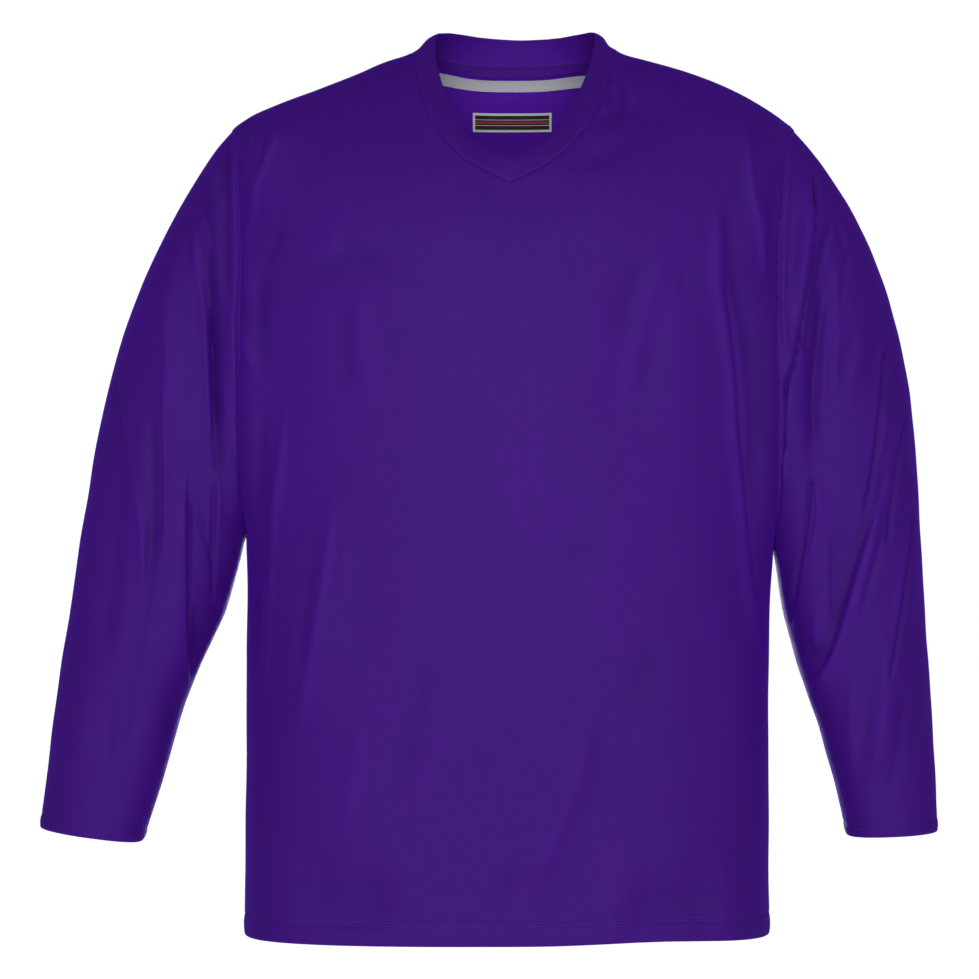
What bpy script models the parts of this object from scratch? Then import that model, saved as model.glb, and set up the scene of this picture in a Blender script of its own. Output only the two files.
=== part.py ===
"""Hockey practice jersey as worn: front, back, two sleeves, V-neck band, neck tape and neck label.

Metres, +Z up, the chest faces -Y and the wearer's left is +X. The origin is midway between the
side-neck points at shoulder level. "Right" and "left" are the wearer's.
"""

import collections
import math

import bpy
import numpy as np

MM = 0.001
CLOTH = 1.6 * MM        # knit wall of the panels and sleeves
HEM_CLOTH = 2.6 * MM    # the turned-up hem and cuffs are two layers
BAND_CLOTH = 2.2 * MM   # the neck band is folded double
TAPE_CLOTH = 1.0 * MM
SEAM_GAP = 0.3 * MM
TAPE_GAP = 0.5 * MM     # between the back and what lies on its inside
HEM_DEPTH = 18 * MM
HEM_STEP = 5 * MM       # height over which the second layer ends
HEM_LIFT = 3.5 * MM     # the front hem rides up a little near the wearer's left
HEM_LIFT_X = 0.135
HEM_LIFT_WIDTH = 0.075
HEM_LIFT_TOP = -0.60
SEAM_CALM = 24 * MM     # folds die away this near to a seam
FRONT = -1
BACK = 1
RIGHT = -1
LEFT = 1

SHOULDER_STEPS = 6      # columns across each shoulder seam
FRONT_NECK_STEPS = 10   # columns from a side-neck point to the V
BACK_NECK_STEPS = 6     # columns from a side-neck point to the centre back
LOWER_ROWS = 12         # rows above the hem band, up to the underarm
ARMHOLE_STEPS = 16      # rows beside an armhole
NECK_ROWS = {           # rows added this far below the top edge
    FRONT: (11 * MM,),
    BACK: (9 * MM, 19 * MM),
}
RELAX_STEPS = 300       # passes that even out a panel's grid
RINGS = 22              # rings along a sleeve
BAND_ROWS = 3           # rows across the neck band

# Torso: half widths at the sides, depths at the centre, and the exponent of each section
Torso = collections.namedtuple("Torso", "z right left front back exponent")
TORSO = (
    Torso(-0.7815, 0.2372, 0.2328, 0.1245, 0.1210, 3.1),
    Torso(-0.6900, 0.2362, 0.2323, 0.1245, 0.1210, 3.0),
    Torso(-0.5400, 0.2350, 0.2323, 0.1260, 0.1215, 2.9),
    Torso(-0.4340, 0.2345, 0.2360, 0.1285, 0.1225, 2.7),
    Torso(-0.3800, 0.2430, 0.2430, 0.1310, 0.1230, 2.55),
    Torso(-0.3000, 0.2515, 0.2505, 0.1340, 0.1240, 2.45),
    Torso(-0.2450, 0.2530, 0.2510, 0.1330, 0.1230, 2.4),
    Torso(-0.1700, 0.2545, 0.2535, 0.1240, 0.1200, 2.35),
    Torso(-0.1200, 0.2560, 0.2585, 0.1085, 0.1150, 2.3),
    Torso(-0.0900, 0.2550, 0.2595, 0.0920, 0.1100, 2.25),
    Torso(-0.0653, 0.2495, 0.2568, 0.0760, 0.1040, 2.2),
    Torso(-0.0540, 0.2367, 0.2448, 0.0680, 0.0990, 2.2),
    Torso(-0.0405, 0.2075, 0.2250, 0.0580, 0.0940, 2.2),
    Torso(-0.0270, 0.1720, 0.2000, 0.0470, 0.0880, 2.2),
    Torso(-0.0135, 0.1377, 0.1668, 0.0360, 0.0820, 2.2),
    Torso(0.0000, 0.1044, 0.1210, 0.0225, 0.0720, 2.2),
    Torso(0.0030, 0.0880, 0.1085, 0.0190, 0.0705, 2.2),
    Torso(0.0060, 0.0780, 0.0957, 0.0160, 0.0690, 2.2),
)

# Armholes, seen from the side: an oval with its own half width and exponent in front and behind
Armhole = collections.namedtuple("Armhole", "top bottom front back front_exponent back_exponent")
ARMHOLES = {
    RIGHT: Armhole(-0.0653, -0.4224, 0.059, 0.062, 2.25, 3.0),
    LEFT: Armhole(-0.0653, -0.4350, 0.059, 0.062, 2.25, 3.0),
}

# Neckline seam in front, measured from the V up to the side-neck points
NeckEdge = collections.namedtuple("NeckEdge", "z right left")
FRONT_NECKLINE = (
    NeckEdge(-0.1195, 0.0000, 0.0000),
    NeckEdge(-0.1079, 0.0227, 0.0236),
    NeckEdge(-0.0949, 0.0433, 0.0433),
    NeckEdge(-0.0768, 0.0589, 0.0605),
    NeckEdge(-0.0568, 0.0713, 0.0752),
    NeckEdge(-0.0311, 0.0795, 0.0860),
    NeckEdge(-0.0100, 0.0848, 0.0920),
    NeckEdge(0.0030, 0.0880, 0.0943),
    NeckEdge(0.0060, 0.0888, 0.0957),
)
NECK_TOP = {RIGHT: 0.0030, LEFT: 0.0060}

# Free edge of the neck band in front, from the V up to its highest point at the side
BandEdge = collections.namedtuple("BandEdge", "z right left depth")
BAND_EDGE = (
    BandEdge(-0.0978, 0.0000, 0.0000, 0.1000),
    BandEdge(-0.0882, 0.0234, 0.0236, 0.0920),
    BandEdge(-0.0730, 0.0391, 0.0400, 0.0800),
    BandEdge(-0.0382, 0.0560, 0.0600, 0.0520),
    BandEdge(-0.0059, 0.0650, 0.0726, 0.0270),
    BandEdge(0.0135, 0.0672, 0.0772, 0.0100),
    BandEdge(0.0235, 0.0658, 0.0785, 0.0020),
)
BAND_BACK_CENTRE = (0.0090, 0.0655, 0.0263)
BAND_FLANK_RISE = {RIGHT: 3.4 * MM, LEFT: 1.8 * MM}
BAND_ROLL = 1.2 * MM            # the band swells between its edges
LAP_STEPS = (4.5 * MM, 9.5 * MM)  # the band's ends run past the V by this much
LAP_LIFT = 2.7 * MM             # the right end lies over the left one
LAP_RAMP = (1.0, 1.0, 0.45, 0.0)

# Sleeves seen from the front: outer and inner edge of each ring, half depths, centre depth
Ring = collections.namedtuple("Ring", "step out_x out_z in_x in_z front back centre")
SLEEVES = {
    RIGHT: (
        Ring(0.0, 0.2495, -0.0653, 0.2362, -0.4224, 0.0590, 0.0620, 0.0000),
        Ring(0.5, 0.2637, -0.0815, 0.2370, -0.4262, 0.0605, 0.0630, 0.0000),
        Ring(1.0, 0.2785, -0.1035, 0.2378, -0.4302, 0.0620, 0.0640, 0.0000),
        Ring(2.0, 0.3042, -0.1485, 0.2396, -0.4370, 0.0640, 0.0650, -0.0010),
        Ring(3.0, 0.3294, -0.2025, 0.2406, -0.4450, 0.0655, 0.0655, -0.0020),
        Ring(4.0, 0.3491, -0.2565, 0.2430, -0.4560, 0.0660, 0.0655, -0.0030),
        Ring(5.0, 0.3615, -0.3033, 0.2480, -0.4725, 0.0655, 0.0650, -0.0040),
        Ring(6.0, 0.3716, -0.3510, 0.2550, -0.4950, 0.0640, 0.0640, -0.0050),
        Ring(7.0, 0.3797, -0.4005, 0.2670, -0.5220, 0.0620, 0.0620, -0.0060),
        Ring(8.0, 0.3876, -0.4500, 0.2806, -0.5517, 0.0595, 0.0595, -0.0070),
        Ring(9.0, 0.3942, -0.4968, 0.2919, -0.5805, 0.0565, 0.0565, -0.0080),
        Ring(10.0, 0.4021, -0.5445, 0.3006, -0.6120, 0.0530, 0.0530, -0.0090),
        Ring(11.0, 0.4089, -0.5958, 0.3105, -0.6462, 0.0495, 0.0495, -0.0100),
        Ring(12.0, 0.4154, -0.6480, 0.3204, -0.6768, 0.0455, 0.0455, -0.0110),
        Ring(13.0, 0.4201, -0.6876, 0.3276, -0.7002, 0.0430, 0.0430, -0.0120),
    ),
    LEFT: (
        Ring(0.0, 0.2568, -0.0653, 0.2364, -0.4350, 0.0590, 0.0620, 0.0000),
        Ring(0.5, 0.2712, -0.0815, 0.2372, -0.4388, 0.0605, 0.0630, 0.0000),
        Ring(1.0, 0.2830, -0.0967, 0.2381, -0.4426, 0.0620, 0.0640, 0.0000),
        Ring(2.0, 0.3050, -0.1305, 0.2399, -0.4510, 0.0640, 0.0650, -0.0010),
        Ring(3.0, 0.3258, -0.1737, 0.2413, -0.4630, 0.0655, 0.0655, -0.0020),
        Ring(4.0, 0.3429, -0.2205, 0.2433, -0.4785, 0.0660, 0.0655, -0.0030),
        Ring(5.0, 0.3537, -0.2655, 0.2469, -0.4968, 0.0655, 0.0650, -0.0040),
        Ring(6.0, 0.3613, -0.3105, 0.2523, -0.5184, 0.0640, 0.0640, -0.0050),
        Ring(7.0, 0.3654, -0.3600, 0.2587, -0.5427, 0.0620, 0.0620, -0.0060),
        Ring(8.0, 0.3683, -0.4095, 0.2672, -0.5688, 0.0595, 0.0595, -0.0070),
        Ring(9.0, 0.3711, -0.4635, 0.2772, -0.5958, 0.0565, 0.0565, -0.0080),
        Ring(10.0, 0.3742, -0.5175, 0.2853, -0.6237, 0.0530, 0.0530, -0.0090),
        Ring(11.0, 0.3780, -0.5760, 0.2925, -0.6498, 0.0495, 0.0495, -0.0100),
        Ring(12.0, 0.3816, -0.6345, 0.2979, -0.6732, 0.0455, 0.0455, -0.0110),
        Ring(13.0, 0.3839, -0.6912, 0.3024, -0.6948, 0.0430, 0.0430, -0.0120),
    ),
}
SLEEVE_EXPONENT = 2.15
CAP_BLEND = 4.0         # rings over which the armhole's own shape fades

# Folds in front view: height out of the cloth (negative is a trough), half width on the side of
# +X (above, where the line runs level) and on the other side, then the line's points, running
# down or towards +X, all in millimetres
Fold = collections.namedtuple("Fold", "name rise near far line")
FOLDS = {
    "front": (
        Fold("right_yoke", 6, 22, 22, ((-204, -50), (-216, -95), (-222, -150))),
        Fold("left_yoke", 6, 20, 20, ((211, -53), (218, -120), (222, -194))),
        Fold("left_side", -6, 20, 26, ((188, -215), (198, -330), (206, -448), (218, -560))),
        Fold("right_side", 5, 20, 24, ((-206, -330), (-214, -420), (-210, -560))),
        Fold("right_waist", 4, 22, 26, ((-156, -400), (-164, -480), (-180, -600))),
        Fold("low_sweep", 4, 26, 30, ((80, -590), (45, -660), (0, -745))),
        Fold("hem_hollow_right", -5, 30, 24, ((-200, -735), (-150, -748), (-90, -738))),
        Fold("hem_hollow_left", -6, 34, 28, ((90, -745), (140, -758), (195, -748))),
        Fold("neck_pull", -4, 15, 18, ((84, -66), (115, -52), (150, -44))),
        Fold("chest_left", -4, 26, 30, ((122, -180), (112, -260), (88, -350))),
    ),
    "back": (
        Fold("back_right", -6, 24, 28, ((-150, -150), (-165, -260), (-178, -400))),
        Fold("back_left", -6, 24, 28, ((160, -160), (172, -290), (176, -420))),
        Fold("back_sweep", 5, 28, 30, ((-60, -380), (-20, -500), (40, -640))),
        Fold("back_waist", 5, 24, 26, ((150, -460), (128, -560), (110, -680))),
        Fold("back_low", -5, 30, 26, ((-180, -700), (-110, -735), (-30, -740))),
        Fold("shoulder_blade", 4, 30, 30, ((90, -80), (120, -130), (128, -200))),
    ),
    "sleeve_right": (
        Fold("seam_valley", -9, 15, 18, ((-282, -131), (-269, -219), (-259, -325), (-255, -410))),
        Fold("upper_ridge", 5, 16, 20, ((-312, -170), (-303, -260), (-299, -360))),
        Fold("elbow_step", -15, 38, 9, ((-285, -380), (-285, -470), (-287, -560))),
        Fold("elbow_edge", 4, 10, 16, ((-296, -375), (-297, -470), (-298, -580))),
        Fold("fore_fold", -5, 12, 18, ((-345, -300), (-350, -420), (-362, -560))),
        Fold("wrist_fold", -4, 12, 14, ((-352, -560), (-362, -640))),
    ),
    "sleeve_right_behind": (
        Fold("behind_elbow", -8, 16, 14, ((-352, -360), (-318, -420), (-284, -470))),
        Fold("behind_ridge", 6, 15, 15, ((-330, -220), (-300, -300), (-280, -400))),
        Fold("behind_fore", -5, 13, 15, ((-340, -480), (-356, -570), (-368, -640))),
    ),
    "sleeve_left_behind": (
        Fold("behind_elbow", -8, 15, 15, ((340, -330), (300, -410), (272, -470))),
        Fold("behind_ridge", 6, 15, 16, ((318, -200), (296, -280), (278, -380))),
        Fold("behind_fore", -5, 13, 15, ((318, -470), (330, -560), (340, -640))),
    ),
    "sleeve_left": (
        Fold("overlap", 6, 12, 14, ((266, -115), (262, -190), (250, -250))),
        Fold("overlap_valley", -10, 18, 10, ((281, -150), (273, -230), (264, -310), (268, -400))),
        Fold("outer_pull", -5, 12, 14, ((330, -200), (334, -250), (328, -310))),
        Fold("elbow_ridge", 7, 13, 13, ((336, -369), (312, -450), (287, -528))),
        Fold("elbow_trough", -8, 12, 13, ((350, -334), (329, -413), (298, -493), (279, -548))),
        Fold("inner_trough", -6, 12, 13, ((308, -396), (290, -470), (272, -540))),
        Fold("fore_ridge", 4, 14, 16, ((340, -500), (330, -590), (322, -660))),
    ),
}

# Neck tape and label on the inside of the back
LABEL_X = (-0.0330, 0.0400)
LABEL_Z = (-0.0546, -0.0379)

PIECE_COLOURS = {
    "front": (0.047, 0.010, 0.181, 1),
    "back": (0.047, 0.010, 0.181, 1),
    "sleeve_right": (0.047, 0.010, 0.181, 1),
    "sleeve_left": (0.047, 0.010, 0.181, 1),
    "collar": (0.050, 0.011, 0.190, 1),
    "neck_tape": (0.62, 0.62, 0.66, 1),
    "neck_label": (0.02, 0.02, 0.022, 1),
}


def along(table, at, *columns):
    """Columns of a table at other values of its first one, by a cubic that never overshoots."""
    x = np.array([row[0] for row in table])
    at = np.clip(np.asarray(at, float), x[0], x[-1])
    i = np.clip(np.searchsorted(x, at, side="right") - 1, 0, len(x) - 2)
    h = np.diff(x)
    t = (at - x[i]) / h[i]
    found = []
    for column in columns:
        y = np.array([getattr(row, column) for row in table])
        d = np.diff(y) / h
        m = np.concatenate([d[:1], np.zeros(len(y) - 2), d[-1:]])
        same = d[:-1] * d[1:] > 0
        m[1:-1][same] = 2 / (1 / d[:-1][same] + 1 / d[1:][same])
        found.append(
            y[i] * (1 + 2 * t) * (1 - t) ** 2 + m[i] * h[i] * t * (1 - t) ** 2
            + y[i + 1] * t * t * (3 - 2 * t) + m[i + 1] * h[i] * t * t * (t - 1)
        )
    return found


def unit(v):
    return v / np.maximum(np.linalg.norm(v, axis=-1, keepdims=True), 1e-12)


def smooth(t):
    t = np.clip(t, 0, 1)
    return t * t * (3 - 2 * t)


def evenly(points, count):
    """Points at even steps along a line of points, with both ends kept."""
    run = np.concatenate([[0], np.cumsum(np.linalg.norm(np.diff(points, axis=0), axis=1))])
    at = np.linspace(0, run[-1], count + 1)
    return np.stack([np.interp(at, run, points[:, k]) for k in range(points.shape[1])], axis=1)


def torso_at_x(x, z, face):
    """Depth y of the torso where it has this x and z, on the front or the back."""
    width = np.where(x < 0, *along(TORSO, z, "right", "left"))
    depth, n = along(TORSO, z, "front" if face == FRONT else "back", "exponent")
    s = np.clip(np.abs(x) / width, 0, 1)
    return face * depth * (1 - s ** n) ** (1 / n)


def torso_at_y(y, z, side):
    """Half width |x| of the torso where it has this y and z."""
    width, front, back, n = along(
        TORSO, z, "right" if side == RIGHT else "left", "front", "back", "exponent")
    depth = np.where(y < 0, front, back)
    return width * (1 - np.clip(np.abs(y) / depth, 0, 1) ** n) ** (1 / n)


def section(z, side, face):
    """Points of a quarter section from the centre to the side, and the length run to each."""
    s = np.sin(np.linspace(0, math.pi / 2, 97))
    width, depth, n = along(
        TORSO, z, "right" if side == RIGHT else "left", "front" if face == FRONT else "back",
        "exponent")
    x = width * s
    y = depth * (1 - s ** n) ** (1 / n)
    run = np.concatenate([[0], np.cumsum(np.hypot(np.diff(x), np.diff(y)))])
    return x, y, run


def flat_to_torso(a, z, face):
    """The torso's point at a signed length a round its section from the centre."""
    side = RIGHT if a < 0 else LEFT
    x, y, run = section(z, side, face)
    a = min(abs(a), run[-1])
    return np.array([side * np.interp(a, run, x), face * np.interp(a, run, y), z])


def torso_to_flat(point, face):
    side = RIGHT if point[0] < 0 else LEFT
    x, _, run = section(point[2], side, face)
    return np.array([side * np.interp(abs(point[0]), x, run), point[2]])


def oval(width, half, n, steps):
    """Half an oval from its top to its bottom at even steps, as (up, depth) with depth >= 0."""
    turn = np.linspace(0, math.pi, 361)
    up = np.sign(np.cos(turn)) * np.abs(np.cos(turn)) ** (2 / n) * half
    deep = np.abs(np.sin(turn)) ** (2 / n) * width
    return evenly(np.stack([up, deep], axis=1), steps)


def armhole_loop(side):
    """The armhole seam: from the top down the front, and back up behind."""
    hole = ARMHOLES[side]
    middle = (hole.top + hole.bottom) / 2
    half = (hole.top - hole.bottom) / 2
    front = oval(hole.front, half, hole.front_exponent, ARMHOLE_STEPS)
    back = oval(hole.back, half, hole.back_exponent, ARMHOLE_STEPS)
    flat = np.concatenate([front * (1, -1), back[-2:0:-1]])
    y = flat[:, 1]
    z = middle + flat[:, 0]
    return np.stack([side * torso_at_y(y, z, side), y, z], axis=1)


def shoulder_seam(side):
    z = np.linspace(ARMHOLES[side].top, NECK_TOP[side], 60)
    width = along(TORSO, z, "right" if side == RIGHT else "left")[0]
    return evenly(np.stack([side * width, 0 * z, z], axis=1), SHOULDER_STEPS)


def front_neckline(side):
    """From a side-neck point down to the V."""
    low = FRONT_NECKLINE[0].z
    z = low + (NECK_TOP[side] - low) * (1 - np.linspace(0, 1, 200) ** 1.6)
    x = side * along(FRONT_NECKLINE, z, "right" if side == RIGHT else "left")[0]
    y = torso_at_x(x, z, FRONT)
    x[0] = side * along(TORSO, z[0], "right" if side == RIGHT else "left")[0]
    y[0] = 0
    return evenly(np.stack([x, y, z], axis=1), FRONT_NECK_STEPS)


def back_neckline(side):
    """From a side-neck point to the centre back."""
    turn = np.linspace(0, math.pi / 2, 200)
    s = np.cos(turn)
    z = NECK_TOP[side] * s ** 4
    width, depth, n = along(TORSO, z, "right" if side == RIGHT else "left", "back", "exponent")
    points = np.stack([side * width * s, depth * (1 - s ** n) ** (1 / n), z], axis=1)
    return evenly(points, BACK_NECK_STEPS)


def relax(flat):
    """Evens out a flat grid in place, by Winslow's equations, keeping its four edges."""
    for _ in range(RELAX_STEPS):
        du = (flat[1:-1, 2:] - flat[1:-1, :-2]) / 2
        dv = (flat[2:, 1:-1] - flat[:-2, 1:-1]) / 2
        alpha = (dv ** 2).sum(-1, keepdims=True)
        gamma = (du ** 2).sum(-1, keepdims=True)
        beta = (du * dv).sum(-1, keepdims=True)
        twist = (flat[2:, 2:] - flat[2:, :-2] - flat[:-2, 2:] + flat[:-2, :-2]) / 2
        level = flat[1:-1, 2:] + flat[1:-1, :-2]
        upright = flat[2:, 1:-1] + flat[:-2, 1:-1]
        flat[1:-1, 1:-1] = (alpha * level + gamma * upright - beta * twist) / (2 * (alpha + gamma))


def panel(face):
    """Rows of a torso panel from the hem up, columns from the wearer's right to the left."""
    neckline = front_neckline if face == FRONT else back_neckline
    top = np.concatenate([
        shoulder_seam(RIGHT), neckline(RIGHT)[1:], neckline(LEFT)[-2::-1],
        shoulder_seam(LEFT)[-2::-1],
    ])
    hem = TORSO[0].z
    sides = []
    for side in (RIGHT, LEFT):
        loop = armhole_loop(side)
        if face == FRONT:
            rise = loop[ARMHOLE_STEPS::-1]
        else:
            rise = np.concatenate([loop[ARMHOLE_STEPS:], loop[:1]])
        low = np.concatenate([
            [hem, hem + HEM_DEPTH],
            np.linspace(hem + HEM_DEPTH + HEM_STEP, rise[0, 2], LOWER_ROWS + 1)[:-1],
        ])
        width = along(TORSO, low, "right" if side == RIGHT else "left")[0]
        seam = np.stack([side * width, 0 * low, low], axis=1)
        sides.append(np.concatenate([seam, rise]))
    flat_top = np.array([torso_to_flat(p, face) for p in top])
    flat_sides = [np.array([torso_to_flat(p, face) for p in line]) for line in sides]
    rows = len(sides[0])
    columns = len(top)
    armhole_row = rows - ARMHOLE_STEPS - 1
    low = (flat_sides[0][: armhole_row + 1, 1] + flat_sides[1][: armhole_row + 1, 1]) / 2
    v = np.concatenate([
        (low - hem) / (flat_top[0, 1] - hem),
        np.linspace((low[-1] - hem) / (flat_top[0, 1] - hem), 1, ARMHOLE_STEPS + 1)[1:],
    ])
    u = np.linspace(0, 1, columns)
    bottom = np.stack([
        np.linspace(flat_sides[0][0, 0], flat_sides[1][0, 0], columns), np.full(columns, hem),
    ], axis=1)
    flat = (1 - v[:, None, None]) * bottom + v[:, None, None] * flat_top
    for side, pull in ((0, (1 - u) ** 3), (-1, u ** 3)):
        edge = flat_sides[side] - flat[:, side]
        flat = flat + pull[None, :, None] * edge[:, None]
    relax(flat[2:])
    under_top = flat[-2]
    grid = np.array([[flat_to_torso(a, z, face) for a, z in line] for line in flat])
    if face == FRONT:
        reach = np.exp(-(((grid[..., 0] - HEM_LIFT_X) / HEM_LIFT_WIDTH) ** 2))
        share = smooth((HEM_LIFT_TOP - grid[..., 2]) / (HEM_LIFT_TOP - hem))
        grid[..., 2] += HEM_LIFT * reach * share
    grid[:, 0] = sides[0]
    grid[:, -1] = sides[1]
    grid[-1] = top
    strip = np.linalg.norm(grid[-2] - top, axis=1)
    added = []
    for order, depth in list(enumerate(NECK_ROWS[face], 1))[::-1]:
        share = np.minimum(depth / strip, order / (len(NECK_ROWS[face]) + 1))[:, None]
        line = flat_top + share * (under_top - flat_top)
        row = np.array([flat_to_torso(a, z, face) for a, z in line])
        ends = top + share * (grid[-2] - top)
        row[0] = ends[0]
        row[-1] = ends[-1]
        added.append(row)
    return np.concatenate([grid[:-1], added, grid[-1:]])


def sleeve(side):
    """Rings of a sleeve from the armhole to the cuff; each ring starts at its outer edge."""
    rows = SLEEVES[side]
    last = rows[-1].step
    cuff_step = HEM_DEPTH / 0.0555
    step_in = HEM_STEP / 0.0555
    at = np.concatenate([
        np.linspace(0, last - cuff_step - step_in, RINGS - 1), [last - cuff_step, last],
    ])
    out_x, out_z, in_x, in_z, front, back, centre = along(
        rows, at, "out_x", "out_z", "in_x", "in_z", "front", "back", "centre")
    grid = np.zeros((len(at), 2 * ARMHOLE_STEPS, 3))
    for k in range(len(at)):
        outer = np.array([side * out_x[k], centre[k], out_z[k]])
        inner = np.array([side * in_x[k], centre[k], in_z[k]])
        half = np.linalg.norm(outer - inner) / 2
        fore = oval(front[k], half, SLEEVE_EXPONENT, ARMHOLE_STEPS)
        rear = oval(back[k], half, SLEEVE_EXPONENT, ARMHOLE_STEPS)
        flat = np.concatenate([fore * (1, -1), rear[-2:0:-1]])
        up = (outer - inner) / (2 * half)
        grid[k] = (outer + inner) / 2 + flat[:, :1] * up
        grid[k, :, 1] += flat[:, 1]
    rest = armhole_loop(side) - grid[0]
    fade = 1 - smooth(at / CAP_BLEND)
    return grid + fade[:, None, None] * rest


def band(front, back):
    """The neck band from the seam to its free edge, from the over end round to the under end."""
    first = SHOULDER_STEPS
    middle = first + FRONT_NECK_STEPS
    right = front[-1, first:middle + 1][::-1]
    left = front[-1, middle:-first][::-1]
    behind = back[-1, first:-first]
    seam = np.concatenate([right, behind[1:-1], left])
    edges = []
    for side in (RIGHT, LEFT):
        z = np.linspace(BAND_EDGE[0].z, BAND_EDGE[-1].z, 200)
        x, depth = along(BAND_EDGE, z, "right" if side == RIGHT else "left", "depth")
        edges.append(evenly(np.stack([side * x, -depth, z], axis=1), FRONT_NECK_STEPS))
    ends = (edges[0][-1], edges[1][-1])
    centre = np.array(BAND_BACK_CENTRE)
    rear = []
    for end, side in zip(ends, (RIGHT, LEFT)):
        turn = np.linspace(0, math.pi / 2, 100)[:, None]
        reach = (end - centre) * (1, 0, 0)
        deep = (centre - end) * (0, 1, 0)
        rise = (centre - end) * (0, 0, 1)
        flank = np.array([0, 0, BAND_FLANK_RISE[side]])
        line = end * (0, 1, 1) + centre * (1, 0, 0)
        line = line + reach * np.cos(turn) ** 0.92 + deep * np.sin(turn) ** 0.92
        line = line + rise * np.sin(turn) ** 2 + flank * np.sin(2 * turn)
        rear.append(evenly(line, BACK_NECK_STEPS))
    top = np.concatenate([edges[0], rear[0][1:-1], rear[1][::-1][:-1], edges[1][::-1]])
    over = []
    under = []
    for step in LAP_STEPS:
        for side, found in ((LEFT, over), (RIGHT, under)):
            ladder = np.array(FRONT_NECKLINE[1])
            share = step / ladder[1 if side == RIGHT else 2]
            z = FRONT_NECKLINE[0].z + share * (ladder[0] - FRONT_NECKLINE[0].z)
            low = np.array([side * step, torso_at_x(np.array(side * step), z, FRONT), z])
            high = edges[0][0] + np.array([side * step, 0, -0.0006])
            found.append((low, high))
    over = np.array(over[::-1])
    under = np.array(under)
    seam = np.concatenate([over[:, 0], seam, under[:, 0]])
    top = np.concatenate([over[:, 1], top, under[:, 1]])
    return seam, top


def frames(seam, body_in, part_in, inside, closed):
    """Along a seam: the way across it from the body to the part, and each one's wall direction.

    body_in and part_in point from the seam into each piece; inside is a point within the jersey.
    """
    if closed:
        tangent = np.roll(seam, -1, axis=0) - np.roll(seam, 1, axis=0)
    else:
        tangent = np.gradient(seam, axis=0)
    tangent = unit(tangent)
    walls = []
    inward = []
    for way in (body_in, part_in):
        way = unit(way - (way * tangent).sum(1, keepdims=True) * tangent)
        walls.append(way)
        inward.append(unit(np.cross(tangent, way)))
    turn = np.sign((inward[0] * unit(inside - seam)).sum())
    inward = [turn * inward[0], -turn * inward[1]]
    across = unit(walls[1] - walls[0])
    bend = (inward[0] * walls[1]).sum(1, keepdims=True)
    angle = np.arccos(np.clip(-(walls[0] * walls[1]).sum(1, keepdims=True), -1, 1))
    lean = np.where(bend > 0, np.tan(angle / 2), 0)
    return across, inward[0] + lean * walls[0], inward[1] + lean * walls[1]


def grid_normals(grid, closed=False, outward_from=None):
    """Unit normals of a grid of points, away from the line or point given."""
    if closed:
        across = np.roll(grid, -1, axis=1) - np.roll(grid, 1, axis=1)
    else:
        across = np.gradient(grid, axis=1)
    along_rows = np.gradient(grid, axis=0)
    normal = unit(np.cross(across, along_rows))
    middle = (normal * (grid - outward_from)).sum()
    return normal if middle > 0 else -normal


def relief(points, folds):
    """Height of the folds at points, from their place in front view."""
    total = np.zeros(points.shape[:-1])
    x = points[..., 0] / MM
    z = points[..., 2] / MM
    for fold in folds:
        line = np.array(fold.line, float)
        lengths = np.linalg.norm(np.diff(line, axis=0), axis=1)
        starts = np.concatenate([[0], np.cumsum(lengths)])
        best = np.full(x.shape, 1e9)
        signed = np.zeros(x.shape)
        share = np.zeros(x.shape)
        for k in range(len(line) - 1):
            way = (line[k + 1] - line[k]) / lengths[k]
            dx = x - line[k, 0]
            dz = z - line[k, 1]
            run = np.clip(dx * way[0] + dz * way[1], 0, lengths[k])
            off_x = dx - run * way[0]
            off_z = dz - run * way[1]
            gap = np.hypot(off_x, off_z)
            near = gap < best
            best = np.where(near, gap, best)
            signed = np.where(near, dz * way[0] - dx * way[1], signed)
            share = np.where(near, (starts[k] + run) / starts[-1], share)
        width = np.where(signed > 0, fold.near, fold.far)
        ends = smooth(share / 0.3) * smooth((1 - share) / 0.3)
        total += fold.rise * MM * ends * np.exp(-((best / width) ** 2))
    return total


def calm(points, seams):
    """0 on the seams and 1 away from them."""
    gap = np.full(points.shape[:-1], 1e9)
    for seam in seams:
        for p in seam:
            gap = np.minimum(gap, np.linalg.norm(points - p, axis=-1))
    return smooth((gap - 4 * MM) / SEAM_CALM)


def material(name):
    made = bpy.data.materials.new(name)
    made.use_nodes = True
    shader = made.node_tree.nodes["Principled BSDF"]
    shader.inputs["Base Color"].default_value = PIECE_COLOURS[name]
    shader.inputs["Roughness"].default_value = 0.72
    return made


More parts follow.
